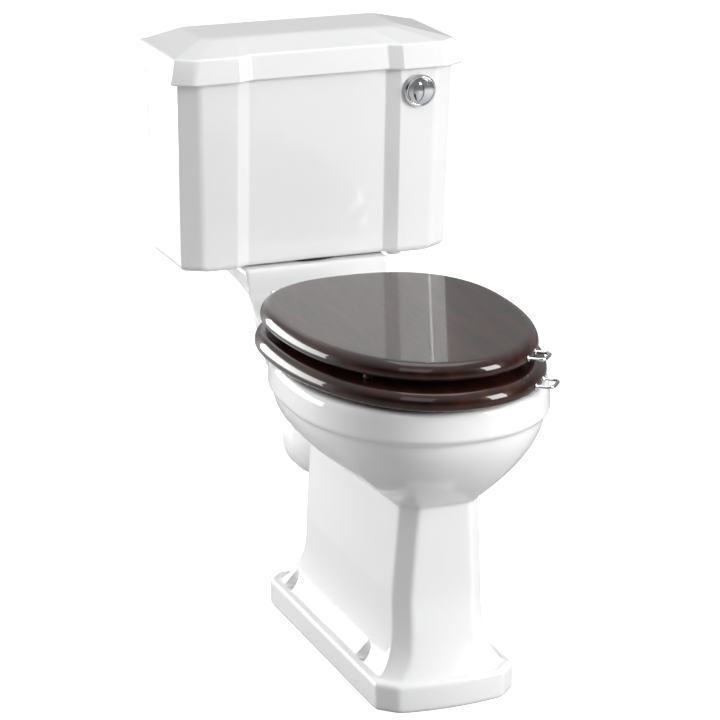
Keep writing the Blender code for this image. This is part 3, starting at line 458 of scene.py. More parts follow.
def coloured(tree, source, stops, socket):
    """Colour a socket from a source through (place, colour) stops."""
    ramp = tree.nodes.new("ShaderNodeValToRGB")
    ramp.color_ramp.elements[0].position = stops[0][0]
    ramp.color_ramp.elements[0].color = (*stops[0][1], 1)
    ramp.color_ramp.elements[1].position = stops[-1][0]
    ramp.color_ramp.elements[1].color = (*stops[-1][1], 1)
    for place, colour in stops[1:-1]:
        ramp.color_ramp.elements.new(place).color = (*colour, 1)
    tree.links.new(source, ramp.inputs["Fac"])
    tree.links.new(ramp.outputs["Color"], socket)


def ranged(tree, source, low, high, socket, source_range=(0.3, 0.7)):
    """Map a source's own range, by default a noise's, to a range of values."""
    spread_out = tree.nodes.new("ShaderNodeMapRange")
    spread_out.inputs["From Min"].default_value = source_range[0]
    spread_out.inputs["From Max"].default_value = source_range[1]
    spread_out.inputs["To Min"].default_value = low
    spread_out.inputs["To Max"].default_value = high
    tree.links.new(source, spread_out.inputs["Value"])
    tree.links.new(spread_out.outputs["Result"], socket)


def bumped(tree, source, shader, strength, distance):
    bump = tree.nodes.new("ShaderNodeBump")
    bump.inputs["Strength"].default_value = strength
    bump.inputs["Distance"].default_value = distance
    tree.links.new(source, bump.inputs["Height"])
    tree.links.new(bump.outputs["Normal"], shader.inputs["Normal"])


def glazed_china():
    """Vitreous china: a clear, very slightly wavy glaze over an off-white body."""
    made, shader = shader_of("china", 0.09, coat=0.35, coat_roughness=0.06)
    tree = made.node_tree
    cloud = noise(tree, 5.0, 2.0)
    coloured(tree, cloud.outputs["Fac"],
             [(0.3, (0.865, 0.868, 0.868)), (0.7, (0.900, 0.900, 0.896))],
             shader.inputs["Base Color"])
    ripple = noise(tree, 22.0, 1.0)
    ranged(tree, ripple.outputs["Fac"], 0.06, 0.11, shader.inputs["Roughness"])
    bumped(tree, ripple.outputs["Fac"], shader, 0.05, 0.0006)
    return made


def lacquered_mahogany():
    """Dark mahogany under a thick, clear lacquer; the grain runs front to back."""
    made, shader = shader_of("mahogany", 0.30, coat=0.85, coat_roughness=0.02)
    shader.inputs["Specular IOR Level"].default_value = 0.15
    tree = made.node_tree
    figure = noise(tree, 9.0, 6.0, (6.0, 0.55, 6.0))
    coloured(tree, figure.outputs["Fac"],
             [(0.30, (0.012, 0.0030, 0.0022)), (0.50, (0.022, 0.0052, 0.0034)),
              (0.68, (0.040, 0.0090, 0.0052))], shader.inputs["Base Color"])
    pores = noise(tree, 110.0, 2.0, (3.0, 0.25, 3.0))
    ranged(tree, pores.outputs["Fac"], 0.30, 0.34, shader.inputs["Roughness"])
    flow = noise(tree, 14.0, 1.0)
    bumped(tree, flow.outputs["Fac"], shader, 0.03, 0.0003)
    return made


def polished_chrome():
    made, shader = shader_of("chrome", 0.07, metallic=1.0)
    tree = made.node_tree
    haze = noise(tree, 60.0, 3.0)
    coloured(tree, haze.outputs["Fac"], [(0.3, (0.74, 0.75, 0.77)), (0.7, (0.82, 0.83, 0.85))],
             shader.inputs["Base Color"])
    ranged(tree, haze.outputs["Fac"], 0.04, 0.11, shader.inputs["Roughness"])
    bumped(tree, haze.outputs["Fac"], shader, 0.02, 0.0001)
    return made


def moulded(name, dark, light, roughness, grain=260.0, strength=0.10, metallic=0.0):
    """A moulded or cast surface: fine grain, slight colour change and uneven gloss."""
    made, shader = shader_of(name, roughness, metallic=metallic)
    tree = made.node_tree
    cloud = noise(tree, 30.0, 4.0)
    coloured(tree, cloud.outputs["Fac"], [(0.3, dark), (0.7, light)], shader.inputs["Base Color"])
    fine = noise(tree, grain, 2.0)
    ranged(tree, fine.outputs["Fac"], roughness - 0.06, roughness + 0.08,
           shader.inputs["Roughness"])
    bumped(tree, fine.outputs["Fac"], shader, strength, 0.0002)
    return made


MATERIALS = {
    "china": glazed_china(),
    "mahogany": lacquered_mahogany(),
    "chrome": polished_chrome(),
    "rubber": moulded("rubber", (0.016, 0.016, 0.017), (0.034, 0.033, 0.033), 0.62),
    "white_plastic": moulded("white_plastic", (0.74, 0.75, 0.75), (0.84, 0.85, 0.85), 0.34),
    "blue_plastic": moulded("blue_plastic", (0.06, 0.20, 0.44), (0.10, 0.28, 0.55), 0.34),
    "cable_sheath": moulded("cable_sheath", (0.025, 0.025, 0.027), (0.045, 0.045, 0.048), 0.28),
    "brass": moulded("brass", (0.60, 0.42, 0.17), (0.76, 0.57, 0.27), 0.28, 180.0, 0.08, 1.0),
}


def finish_piece(obj, name, body, slot, *nodes, angle=SHARP_ANGLE):
    """Name a piece, give it its material, and let it ride and stand for its CAD nodes."""
    obj.name = name
    obj.data.name = name
    obj.data.materials.clear()
    obj.data.materials.append(MATERIALS[slot])
    obj.data.shade_smooth()
    if angle:
        obj.data.set_sharp_from_angle(angle=angle)
    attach(obj, body)
    if nodes:
        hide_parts(*nodes)
    return obj


# ---------------------------------------------------------------- pan
def stem_half(z):
    """Right half of the pedestal's section, widening to the foot below STEM_LOW."""
    rise = max((z - STEM_LOW) / (STEM_TOP - STEM_LOW), 0)
    drop = min(max((STEM_LOW - z) / (STEM_LOW - FOOT_HEIGHT), 0), 1)
    flare = drop ** END_FLARE
    half = STEM_HALF - STEM_TAPER * rise
    front = STEM_FRONT + STEM_TAPER * rise
    half += drop ** SIDE_FLARE * (FOOT_HALF - 0.010 - half)
    rear = STEM_REAR + flare * (FOOT_REAR + 0.010 - STEM_REAR)
    front += flare * (FOOT_FRONT - 0.009 - front)
    return canted_half(half, rear, front, FOOT_BOW * flare, 0.014 + 0.008 * flare,
                       0.021 + 0.004 * flare)


def foot_half(inset_by):
    return canted_half(FOOT_HALF - inset_by, FOOT_REAR + inset_by, FOOT_FRONT - inset_by, FOOT_BOW)


def pan_rings():
    rings = [soft_ring(foot_half(0.002), 0.0), soft_ring(foot_half(0.0), 0.003)]
    lip = ((0.0, 0.034), (0.001, 0.0375), (0.003, 0.0395), (0.0055, FOOT_HEIGHT), (0.0080, 0.0395))
    rings += [soft_ring(foot_half(by), z) for by, z in lip]
    for step in range(1, 25):
        z = FOOT_HEIGHT + (STEM_LOW - FOOT_HEIGHT) * (step / 24) ** 1.4
        rings.append(soft_ring(stem_half(z), z))
    for z in (0.16, 0.20, 0.24, STEM_TOP):
        rings.append(soft_ring(stem_half(z), z))
    stem = stem_half(STEM_TOP)
    under = egg_half(BAND_HALF - 0.0075, BAND_MIDDLE, BAND_REAR, BAND_FRONT - 0.0075)
    for step in range(1, 33):
        share = (step / 32) ** 1.6
        z = STEM_TOP + (LEDGE - 0.007 - STEM_TOP) * share
        rings.append(soft_ring(between(stem, under, 1 - (1 - share) ** BOWL_FULLNESS), z))
    band = ((0.0, LEDGE), (0.0008, 0.410), (0.0015, RIM - 0.009), (0.0028, RIM - 0.005),
            (0.0055, RIM - 0.0015), (0.0095, RIM))
    for by, z in band:
        rings.append(soft_ring(egg_half(BAND_HALF - by, BAND_MIDDLE, BAND_REAR + by,
                                        BAND_FRONT - by), z, 0))
    return rings


def deck_ring(depth, half, low, top, edge=0.006):
    foot = half - 0.006
    right = [(0, low), (foot - 0.008, low), (foot, low + 0.008), (half, top - edge),
             (half - 0.3 * edge, top - 0.3 * edge), (half - edge, top), (0, top)]
    left = [(-x, z) for x, z in right[1:-1]]
    return [Vector((x, at(depth), z)) for x, z in right + left[::-1]]


def deck_rings():
    """Wall to bowl: the flat shelf, its hollow front, then the flat hinge deck."""
    front = SHELF_FRONT
    stations = ((0.008, 0.108, 0.456, SHELF - 0.004), (0.012, SHELF_HALF, 0.456, SHELF),
                (0.100, SHELF_HALF, 0.450, SHELF), (front - 0.005, SHELF_HALF, 0.440, SHELF),
                (front, SHELF_HALF, 0.438, SHELF - 0.004), (front + 0.003, 0.110, 0.436, 0.464),
                (front + 0.009, 0.111, 0.434, 0.4535), (front + 0.024, 0.1125, 0.428, 0.4435),
                (front + 0.044, 0.116, 0.418, 0.4365), (front + 0.064, 0.120, 0.410, RIM),
                (0.290, 0.135, 0.398, RIM), (0.345, 0.1505, 0.396, RIM), (0.400, 0.158, 0.396, RIM))
    return [deck_ring(*station) for station in stations]


def bowl_cavity():
    levels = ((0.122, 0.515, 0.338, 0.690, 0.450), (0.122, 0.515, 0.338, 0.690, 0.4035),
              (0.148, 0.515, 0.316, 0.706, 0.4030), (0.148, 0.515, 0.316, 0.706, 0.3850),
              (0.134, 0.513, 0.322, 0.694, 0.3500), (0.104, 0.505, 0.330, 0.664, 0.3150),
              (0.062, 0.490, 0.362, 0.612, 0.2850), (0.050, 0.465, 0.400, 0.545, 0.2550),
              (0.036, 0.452, 0.415, 0.495, 0.2300))
    return loft("bowl cavity", [soft_ring(egg_half(half, middle, rear, front), z, 0)
                                for half, middle, rear, front, z in levels][::-1])


def side_view(route):
    return [(0.0, at(depth), z) for depth, z in route]


TRAP_CREST = ((0.330, 0.190), (0.316, 0.235), (0.288, 0.268), (0.250, 0.266), (0.212, 0.242),
              (0.180, 0.226))
TRAP_SUMP = ((0.452, 0.262), (0.448, 0.205), (0.428, 0.163), (0.392, 0.145), (0.354, 0.156))
DUCT_ROUTE = ((VALVE_DEPTH + 0.006, 0.458), (0.110, 0.442), (0.140, 0.427), (0.240, 0.412),
              (0.335, 0.397))
DUCT_SIZES = (0.026, 0.026, 0.023, 0.021, 0.021)


def trap_outside():
    route = smooth_route(side_view(TRAP_CREST + ((OUTLET_END + 0.022, OUTLET_HEIGHT),)))
    return tube("trap outside", route, OUTLET_RADIUS - 0.0008, 48)


def trap_bore():
    route = smooth_route(side_view(TRAP_SUMP + TRAP_CREST + ((OUTLET_END - 0.010, OUTLET_HEIGHT),)))
    return tube("trap bore", route, TRAP_BORE, 40)


def flush_inlet(swell, top):
    y = at(VALVE_DEPTH)
    return bar("flush inlet", 0.042 + swell, (0, y, 0.452 - swell), (0, y, top), 48)


def flush_duct(swell):
    return tube("flush duct", side_view(DUCT_ROUTE), [size + swell for size in DUCT_SIZES])


def foot_hollow():
    levels = ((0.016, 0.016, -0.01), (0.016, 0.016, 0.012), (0.042, 0.050, 0.034),
              (0.050, 0.090, 0.085))
    return loft("foot hollow", [soft_ring(canted_half(
        FOOT_HALF - by, FOOT_REAR + rear, FOOT_FRONT - by, 0.0, 0.012, 0.014), z, 0)
        for by, rear, z in levels])


def deck_hollows():
    made = []
    for side in (-1, 1):
        for near, far, inner, outer, top in ((0.020, 0.152, 0.056, 0.096, SHELF - 0.014),
                                             (0.150, 0.272, 0.042, 0.102, RIM - 0.012)):
            x_low, x_high = sorted((side * inner, side * outer))
            made.append(block("deck hollow", (x_low, at(far), 0.380), (x_high, at(near), top)))
    return made


def pan_holes():
    made = []
    pillar_x = abs(high_of("hinge_pillar_left").x + low_of("hinge_pillar_left").x) / 2
    hinge_y = (high_of("hinge_rod").y + low_of("hinge_rod").y) / 2
    for side in (-1, 1):
        for x, y, low, high in ((BOLT_X, at(VALVE_DEPTH), 0.44, 0.50),
                                (pillar_x, hinge_y, 0.40, 0.45)):
            made.append(bar("bolt hole", BOLT_HOLE, (side * x, y, low), (side * x, y, high)))
        for depth in FIX_DEPTHS:
            x, y = side * FIX_X, at(depth)
            made.append(bar("fixing hole", BOLT_HOLE, (x, y, -0.01), (x, y, 0.06)))
            made.append(bar("fixing pocket", POCKET_RADIUS, (x, y, FOOT_HEIGHT),
                            (x, y, POCKET_TOP), 40, POCKET_END))
    return made


def make_pan():
    pan = loft("pan", pan_rings())
    join(pan, loft("deck outside", deck_rings()), trap_outside(),
         bar("spigot", OUTLET_RADIUS, (0, at(OUTLET_END + 0.036), OUTLET_HEIGHT),
             (0, at(OUTLET_END), OUTLET_HEIGHT), 64),
         flush_inlet(DUCT_WALL, SHELF - 0.006), flush_duct(DUCT_WALL))
    front_hollow = block("front hollow", (-0.044, at(0.612), -0.01), (0.044, at(0.520), 0.200))
    cut(pan, *deck_hollows(), *pan_holes(), bowl_cavity(), trap_bore(), flush_inlet(0.0, 0.500),
        flush_duct(0.0), foot_hollow(), front_hollow)
    return finish_piece(glaze_over(pan), "pan_china", "root", "china", "pan", angle=0)


def glaze_over(pan):
    """Run the joins together as glaze does: remesh finely, relax, then thin out."""
    remesh = pan.modifiers.new("skin", "REMESH")
    remesh.mode = "VOXEL"
    remesh.voxel_size = 0.0020
    relax = pan.modifiers.new("relax", "SMOOTH")
    relax.factor = 0.5
    relax.iterations = 8
    settle(pan)
    triangles = 2 * len(pan.data.polygons)
    if triangles > PAN_TRIANGLES:
        thin = pan.modifiers.new("thin", "DECIMATE")
        thin.ratio = PAN_TRIANGLES / triangles
        settle(pan)
    return pan


# ---------------------------------------------------------------- cistern
def stepped(half, rear, front, cant=(CANT_X, CANT_Y), radii=(0.006, 0.003, 0.020, 0.006, 0.006)):
    """The cistern's outline: square rear, canted front corners and stepped-back centre."""
    corners = [(half, rear), (half, front - cant[1]), (half - cant[0], front),
               (STEP_OUT, front), (STEP_IN, front - RECESS)]
    return whole(corners, list(radii))


def tank_outline(z, by=0.0, cant=(CANT_X, CANT_Y)):
    share = (z - TANK_LOW) / (TANK_TOP - TANK_LOW)
    half = TANK_HALF_LOW + (TANK_HALF_TOP - TANK_HALF_LOW) * share
    front = TANK_FRONT_LOW + (TANK_FRONT_TOP - TANK_FRONT_LOW) * share
    return stepped(half - by, TANK_REAR + by, front - by, cant)


def quarter(radius, steps=6):
    """(inset, rise) pairs round a quarter-round edge, from the outside face inwards."""
    turns = [math.pi / 2 * i / steps for i in range(steps + 1)]
    return [(radius * (1 - math.cos(t)), radius * (1 - math.sin(t))) for t in turns]


def make_tank():
    floor = TANK_LOW + TANK_FLOOR
    rings = [lift(tank_outline(TANK_LOW + up, by), TANK_LOW + up)
             for by, up in quarter(0.011)[::-1]]
    rings += [lift(tank_outline(TANK_TOP - up, by), TANK_TOP - up) for by, up in quarter(0.0025, 4)]
    tank = loft("tank", rings)
    cant = (CANT_X - 0.008, CANT_Y - 0.005)
    inside = [lift(tank_outline(floor + up, TANK_WALL + by, cant), floor + up)
              for by, up in quarter(0.008)[::-1]]
    inside.append(lift(tank_outline(TANK_TOP, TANK_WALL, cant), TANK_TOP + 0.010))
    y = at(VALVE_DEPTH)
    holes = [bar("hole", radius, (x, hole_y, TANK_LOW - 0.01), (x, hole_y, floor + 0.01), 48)
             for x, hole_y, radius in ((0.0, y, FLUSH_HOLE), (FILL_X, at(FILL_DEPTH), FILL_HOLE),
                                       (-BOLT_X, y, BOLT_HOLE), (BOLT_X, y, BOLT_HOLE))]
    holes.append(bar("button hole", BARREL_RADIUS + GAP, button_point(0.012), button_point(-0.020),
                     48))
    for x in (-WALL_FIX_X, WALL_FIX_X):
        holes.append(bar("wall hole", WALL_HOLE, (x, at(TANK_REAR) + 0.010, WALL_FIX_Z),
                         (x, at(TANK_REAR + TANK_WALL) - 0.010, WALL_FIX_Z)))
    cut(tank, loft("tank inside", inside), *holes)
    return finish_piece(even_shading(tank), "cistern_tank_china", "root", "china", "cistern_tank")


def even_shading(obj):
    """Keep flat faces flat beside their rounded edges."""
    obj.data.shade_smooth()
    obj.modifiers.new("shading", "WEIGHTED_NORMAL").keep_sharp = True
    return obj


def lid_outline(share, by=0.0):
    half = LID_HALF_LOW + (LID_HALF_TOP - LID_HALF_LOW) * share
    front = LID_FRONT_LOW + (LID_FRONT_TOP - LID_FRONT_LOW) * share
    return stepped(half - by, by, front - by)


def panel_outline(by=0.0):
    """The flat panel on top of the cistern lid."""
    half, front = PANEL_HALF - by, PANEL_FRONT - by
    corners = [(half, 0.004 + by), (half, front - 0.012), (half - 0.012, front), (0.095, front),
               (0.075, front)]
    return whole(corners, [0.003, 0.006, 0.006, 0.002, 0.002])


def make_cistern_lid():
    edge = LID_EDGE - 0.0045
    rings = [lift(lid_outline(0.0, by), LID_LOW + up) for by, up in quarter(0.003, 4)[::-1]]
    rings += [lift(lid_outline(1.0, by), edge + 0.0045 - up) for by, up in quarter(0.0045)]
    rim = lid_outline(1.0, 0.0050)
    panel = panel_outline()
    ease, slope = 0.25, 1 / (1 - 0.125)
    for share in (0.1, 0.3, 0.5, 0.65, 0.75, 0.80, 0.85, 0.90, 0.95, 1.0):
        rise = slope * share if share <= 1 - ease else 1 - (1 - share) ** 2 * slope / (2 * ease)
        rings.append(lift(between(rim, panel, share), LID_EDGE + (HEIGHT - LID_EDGE) * rise))
    rings.append(lift(panel_outline(0.004), HEIGHT))
    lid = loft("lid", rings)
    rest = TANK_TOP + GAP
    skirt = [lift(tank_outline(TANK_TOP, -0.0020), z) for z in (LID_LOW - 0.01, rest)]
    hollow = [lift(tank_outline(TANK_TOP, by), z)
              for by, z in ((0.014, LID_LOW - 0.01), (0.016, rest + 0.014))]
    cut(lid, loft("skirt space", skirt), loft("lid hollow", hollow))
    return finish_piece(even_shading(lid), "cistern_lid_china", "cistern_cover", "china",
                        "cistern_lid")


# ---------------------------------------------------------------- flush button
def front_slope():
    return math.atan2(TANK_FRONT_TOP - TANK_FRONT_LOW, TANK_TOP - TANK_LOW)


def button_axis():
    slope = front_slope()
    return Vector((0, -math.cos(slope), -math.sin(slope)))


def button_point(out, across=0.0, up=0.0):
    slope = front_slope()
    share = (BUTTON_Z - TANK_LOW) / (TANK_TOP - TANK_LOW)
    depth = TANK_FRONT_LOW + (TANK_FRONT_TOP - TANK_FRONT_LOW) * share
    upward = Vector((0, -math.sin(slope), math.cos(slope)))
    return Vector((BUTTON_X + across, at(depth), BUTTON_Z)) + button_axis() * out + upward * up


def lens_loop(grow=0.0, steps=24):
    width, height = LENS_HALF_WIDTH + grow, LENS_HALF_HEIGHT + grow
    radius = (width ** 2 + height ** 2) / (2 * width)
    reach = math.asin(height / radius)
    right = [(radius * math.cos(t) - radius + width, radius * math.sin(t))
             for t in (reach * (2 * i / steps - 1) for i in range(steps))]
    return [(LENS_X + x, y) for x, y in right + [(-x, -y) for x, y in right]]


def domed(name, loop, middle, low, face, dome, edge=0.0005):
    """An outline raised to a shallow dome, in the button's own frame."""
    def grown(share, z):
        return [Vector((middle[0] + (x - middle[0]) * share,
                        middle[1] + (y - middle[1]) * share, z)) for x, y in loop]

    rings = [grown(1.0, low), grown(1.0, face - edge)]
    for share in (0.985, 0.95, 0.88, 0.76, 0.60, 0.42, 0.22, 0.05):
        rings.append(grown(share, face + dome * (1 - share ** 2)))
    made = loft(name, rings)
    made.data.transform(Matrix.Translation(button_point(0))
                        @ Matrix.Rotation(math.radians(90) + front_slope(), 4, "X"))
    return made


def make_buttons():
    axis, cup, bore = button_axis(), BUTTON_RADIUS + 0.0004, BARREL_RADIUS - 0.0025
    back = 0.0010 + GAP
    bezel = [(cup, BEZEL_RIM), (BEZEL_RADIUS - 0.0020, BEZEL_RIM),
             (BEZEL_RADIUS, BEZEL_RIM - 0.0028), (BEZEL_RADIUS, back), (BARREL_RADIUS, back),
             (BARREL_RADIUS, BARREL_END), (bore, BARREL_END), (bore, CUP_FLOOR), (cup, CUP_FLOOR)]
    finish_piece(turned("bezel", bezel, button_point(0), axis, 96), "button_surround", "root",
                 "chrome", "button_bezel")
    turns = [2 * math.pi * i / 96 for i in range(96)]
    disc = [(BUTTON_RADIUS * math.cos(t), BUTTON_RADIUS * math.sin(t)) for t in turns]
    large = domed("large", disc, (0, 0), BUTTON_LOW, BUTTON_FACE, 0.0016)
    cut(large, domed("lens hole", lens_loop(0.0004), (LENS_X, 0), 0.0, BUTTON_FACE + 0.010, 0.0))
    finish_piece(bevelled(large, 0.0004), "large_button_cap", "large_button", "chrome",
                 "large_flush_button")
    small = domed("small", lens_loop(), (LENS_X, 0), BUTTON_LOW, BUTTON_FACE + 0.0006, 0.0014)
    finish_piece(bevelled(small, 0.0004), "small_button_cap", "small_button", "chrome",
                 "small_flush_button")


# ---------------------------------------------------------------- seat boards
LOOP_POINTS = 192


def edge_profile(low, top, share=1.0, steps=20):
    """(inset, height) pairs round a bullnose, from the underside to the top."""
    middle = low + (top - low) * BULLNOSE_SPLIT
    made = []
    for i in range(steps + 1):
        turn = math.pi * i / steps - math.pi / 2
        reach, half = (BULLNOSE_TOP, top - middle) if turn > 0 else (BULLNOSE_LOW, middle - low)
        made.append((share * reach * (1 - math.cos(turn)), middle + half * math.sin(turn)))
    return made


def make_ring():
    outer = even(egg_loop(720, RING_HALF, SEAT_REAR, RING_FRONT), LOOP_POINTS)
    hole = even(egg_loop(720, HOLE_HALF, HOLE_REAR, HOLE_FRONT, 2.3, 2.1), LOOP_POINTS)
    rings = [lift(inset(outer, by), z) for by, z in edge_profile(RING_LOW, RING_TOP)]
    rings += [lift(inset(hole, -by), z)
              for by, z in edge_profile(RING_LOW, RING_TOP, 0.75)[::-1]]
    ring = loft("ring", rings, closed=True)
    return finish_piece(even_shading(ring), "seat_ring_wood", "seat", "mahogany", "seat_ring",
                        angle=0)


def make_cover():
    outer = even(egg_loop(720, LID_HALF, SEAT_REAR, COVER_FRONT), LOOP_POINTS)
    profile = edge_profile(COVER_LOW, COVER_TOP)
    rings = [lift(inset(outer, BULLNOSE_LOW + 0.020), COVER_LOW)]
    rings += [lift(inset(outer, by), z) for by, z in profile]
    rings.append(lift(inset(outer, BULLNOSE_TOP + 0.014), COVER_TOP))
    cover = loft("cover", rings)
    return finish_piece(even_shading(cover), "seat_lid_wood", "lid", "mahogany", "seat_lid",
                        angle=0)


def make_handle(name, node, body, half, front, z):
    """A squared loop of rod with a small flange where each leg meets the board."""
    turn = HANDLE_ANGLE
    x, depth = egg_point(math.pi / 2 + turn, half, SEAT_MIDDLE, SEAT_REAR, front, 4.0, 2.15)
    outward = Vector((math.cos(turn) / half, -math.sin(turn) / (front - SEAT_MIDDLE), 0))
    outward.normalize()
    along = Vector((-outward.y, outward.x, 0))
    middle = Vector((x, at(depth), z))
    corners = [(-HANDLE_HALF, -0.004), (-HANDLE_HALF, HANDLE_REACH), (HANDLE_HALF, HANDLE_REACH),
               (HANDLE_HALF, -0.004)]
    path = rounded(corners, [0.0, 0.009, 0.009, 0.0], 10)
    path = [corners[0]] + [p for p in path if p[1] > 0.0] + [corners[-1]]
    loop = tube("loop", [middle + along * a + outward * b for a, b in path], HANDLE_ROD)
    flanges = []
    for side in (-HANDLE_HALF, HANDLE_HALF):
        start = middle + along * side - outward * 0.0010
        profile = [(0, 0.0030), (0.0028, 0.0030), (0.0040, 0.0016), (0.0042, 0), (0, 0)]
        flanges.append(turned("flange", profile, start, outward, 32, 0.0003))
    join(loop, *flanges)
    finish_piece(loop, name, body, "chrome", node)


def make_buffers():
    for board, edge, low, high in (("seat", 0.0090, RIM, RING_LOW),
                                   ("lid", 0.0075, RING_TOP, COVER_LOW)):
        for end in ("front", "rear"):
            for side in ("left", "right"):
                node = f"{board}_buffer_{end}_{side}"
                foot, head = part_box(node)
                place = ((foot.x + head.x) / 2, (foot.y + head.y) / 2, 0)
                pad = [(0, high - GAP), (edge - 0.001, high - GAP), (edge, low + 0.0022),
                       (edge - 0.0018, low + GAP), (0, low + GAP)]
                finish_piece(turned("pad", pad, place, sides=48), f"{node}_pad", board, "rubber",
                             node)


# ---------------------------------------------------------------- the other pieces
KEPT = {
    "chrome": ("hinge_rod", "hinge_pillar_left", "hinge_pillar_right", "rod_cap_left",
               "rod_cap_right", "seat_hinge_bracket_left", "seat_hinge_bracket_right",
               "lid_hinge_bracket_left", "lid_hinge_bracket_right", "hinge_wing_nut_left",
               "hinge_wing_nut_right"),
    "brass": ("coupling_bolt_left", "coupling_bolt_right", "coupling_wing_nut_left",
              "coupling_wing_nut_right", "fill_valve_pin"),
    "rubber": ("button_gasket", "coupling_gasket", "coupling_washer_left",
               "coupling_washer_right", "flush_valve_seal", "flush_valve_washer",
               "fill_valve_washer", "hinge_washer_left", "hinge_washer_right"),
    "white_plastic": ("button_back_nut", "cable_actuator", "flush_valve_body",
                      "flush_valve_back_nut", "fill_valve_body", "fill_valve_back_nut",
                      "fill_valve_lever"),
    "blue_plastic": ("flush_valve_standpipe", "fill_valve_float"),
    "cable_sheath": ("flush_cable",),
}
SMALL_EDGE = 0.0004


def dress_kept():
    """Give the carried-over CAD pieces their material and a fine edge break."""
    for slot, nodes in KEPT.items():
        for node in nodes:
            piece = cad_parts[node]
            for place in piece.material_slots:
                place.material = MATERIALS[slot]
            piece.data.shade_smooth()
            piece.data.set_sharp_from_angle(angle=SHARP_ANGLE)
            if node != "flush_cable":
                bevelled(piece, SMALL_EDGE, 2)


# ---------------------------------------------------------------- stage
FLOOR_GLOW = 1.00         # lifts the floor to paper white where the camera sees it
BACKDROP = 1.2            # the same, for the space behind it
ROOM_WALL = (0.03, 0.50)  # what mirrored surfaces see, from the front to the rear wall
ROOM_CEILING = (0.00, 0.90)   # and from the horizon up to the ceiling, added to it
LIGHT_DISTANCE = 2.6
LIGHTS = (                # name, azimuth, elevation, power, width, height
    ("key", 42, 19, 58, 0.9, 1.4),
    ("fill", -42, 42, 6, 1.3, 1.3),
    ("side", -138, 4, 73, 2.2, 1.3),
    ("overhead", 150, 78, 15, 1.6, 1.6),
)


def make_floor():
    """A plain pale floor, plain white to the camera."""
    mesh = bmesh.new()
    bmesh.ops.create_grid(mesh, x_segments=8, y_segments=8, size=30.0)
    floor = from_bmesh("floor", mesh)
    made, shader = shader_of("floor_white", 0.85)
    tree = made.node_tree
    cloud = noise(tree, 0.8, 2.0)
    coloured(tree, cloud.outputs["Fac"], [(0.3, (0.32, 0.32, 0.32)), (0.7, (0.34, 0.34, 0.34))],
             shader.inputs["Base Color"])
    shader.inputs["Emission Color"].default_value = (1, 1, 1, 1)
    ray = tree.nodes.new("ShaderNodeLightPath")
    glow = tree.nodes.new("ShaderNodeMath")
    glow.operation = "MULTIPLY"
    glow.inputs[1].default_value = FLOOR_GLOW
    tree.links.new(ray.outputs["Is Camera Ray"], glow.inputs[0])
    tree.links.new(glow.outputs["Value"], shader.inputs["Emission Strength"])
    floor.data.materials.append(made)


def softbox(name, azimuth, elevation, power, width, height):
    """An area light that faces the toilet from an azimuth (0 is the front, 90 the right)."""
    light = bpy.data.lights.new(name, "AREA")
    light.shape = "RECTANGLE"
    light.size = width
    light.size_y = height
    light.energy = power
    made = bpy.data.objects.new(name, light)
    a, e = math.radians(azimuth), math.radians(elevation)
    aim = Vector((0, 0, 0.42))
    out = Vector((math.sin(a) * math.cos(e), -math.cos(a) * math.cos(e), math.sin(e)))
    made.location = aim + out * LIGHT_DISTANCE
    made.rotation_euler = out.to_track_quat("Z", "Y").to_euler()
    bpy.context.scene.collection.objects.link(made)


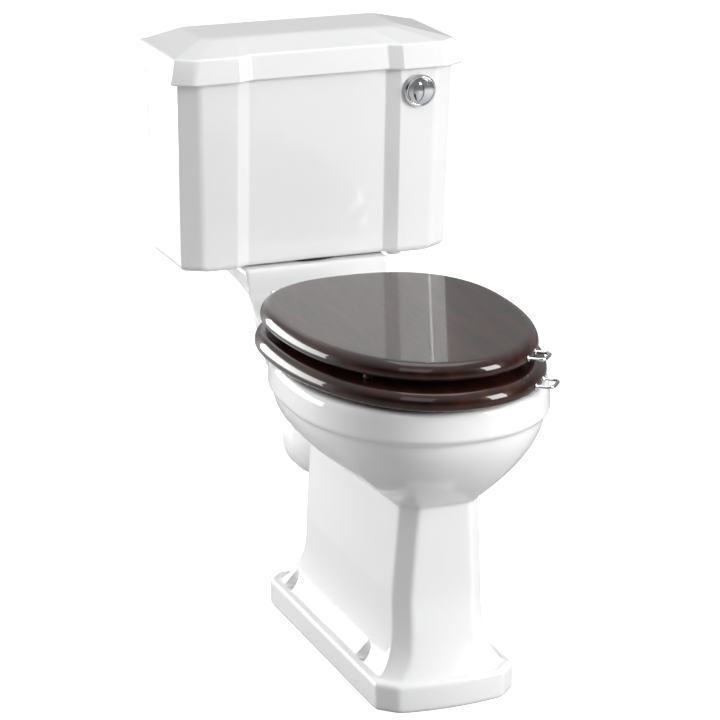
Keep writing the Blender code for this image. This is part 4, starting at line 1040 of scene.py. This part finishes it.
def make_world():
    """A white backdrop to the eye, a soft ambient, and a darker room in mirrored surfaces."""
    world = bpy.data.worlds.new("studio")
    bpy.context.scene.world = world
    world.use_nodes = True
    tree = world.node_tree
    tree.nodes.clear()
    out = tree.nodes.new("ShaderNodeOutputWorld")
    mix = tree.nodes.new("ShaderNodeMixShader")
    seen = tree.nodes.new("ShaderNodeBackground")
    lit = tree.nodes.new("ShaderNodeBackground")
    ray = tree.nodes.new("ShaderNodeLightPath")
    seen.inputs["Strength"].default_value = BACKDROP
    seen.inputs["Color"].default_value = (1, 1, 1, 1)
    sky = tree.nodes.new("ShaderNodeTexCoord")
    split = tree.nodes.new("ShaderNodeSeparateXYZ")
    tree.links.new(sky.outputs["Generated"], split.inputs["Vector"])
    coloured(tree, split.outputs["Z"], [(0.0, (0.20, 0.20, 0.205)), (0.35, (0.26, 0.26, 0.265)),
                                        (0.75, (0.62, 0.62, 0.63)), (1.0, (0.80, 0.80, 0.81))],
             lit.inputs["Color"])
    room = tree.nodes.new("ShaderNodeBackground")
    bright = tree.nodes.new("ShaderNodeMath")
    room_or_lit = tree.nodes.new("ShaderNodeMixShader")
    ranged(tree, split.outputs["Y"], *ROOM_WALL, bright.inputs[0], (-0.2, 1.0))
    ranged(tree, split.outputs["Z"], *ROOM_CEILING, bright.inputs[1], (0.35, 1.0))
    tree.links.new(bright.outputs["Value"], room.inputs["Strength"])
    tree.links.new(ray.outputs["Is Glossy Ray"], room_or_lit.inputs["Fac"])
    tree.links.new(lit.outputs["Background"], room_or_lit.inputs[1])
    tree.links.new(room.outputs["Background"], room_or_lit.inputs[2])
    tree.links.new(ray.outputs["Is Camera Ray"], mix.inputs["Fac"])
    tree.links.new(room_or_lit.outputs["Shader"], mix.inputs[1])
    tree.links.new(seen.outputs["Background"], mix.inputs[2])
    tree.links.new(mix.outputs["Shader"], out.inputs["Surface"])


def make_camera():
    data = bpy.data.cameras.new("camera")
    data.sensor_width = 36.0
    data.lens = CAMERA_LENS
    data.shift_x, data.shift_y = CAMERA_SHIFT
    camera = bpy.data.objects.new("camera", data)
    camera.location = CAMERA_PLACE
    camera.rotation_euler = (math.pi / 2 - CAMERA_ELEVATION, 0, CAMERA_AZIMUTH)
    bpy.context.scene.collection.objects.link(camera)
    bpy.context.scene.camera = camera


def main():
    make_camera()
    make_pan()
    make_tank()
    make_cistern_lid()
    make_buttons()
    make_ring()
    make_cover()
    board_middle = (RING_LOW + RING_TOP) / 2 - HANDLE_DROP
    make_handle("seat_handle_loop", "seat_handle", "seat", RING_HALF, RING_FRONT, board_middle)
    make_handle("lid_handle_loop", "lid_handle", "lid", LID_HALF, COVER_FRONT,
                (COVER_LOW + COVER_TOP) / 2 - HANDLE_DROP)
    make_buffers()
    dress_kept()
    make_floor()
    make_world()
    for light in LIGHTS:
        softbox(*light)
    bpy.context.scene.view_settings.view_transform = "Standard"


main()
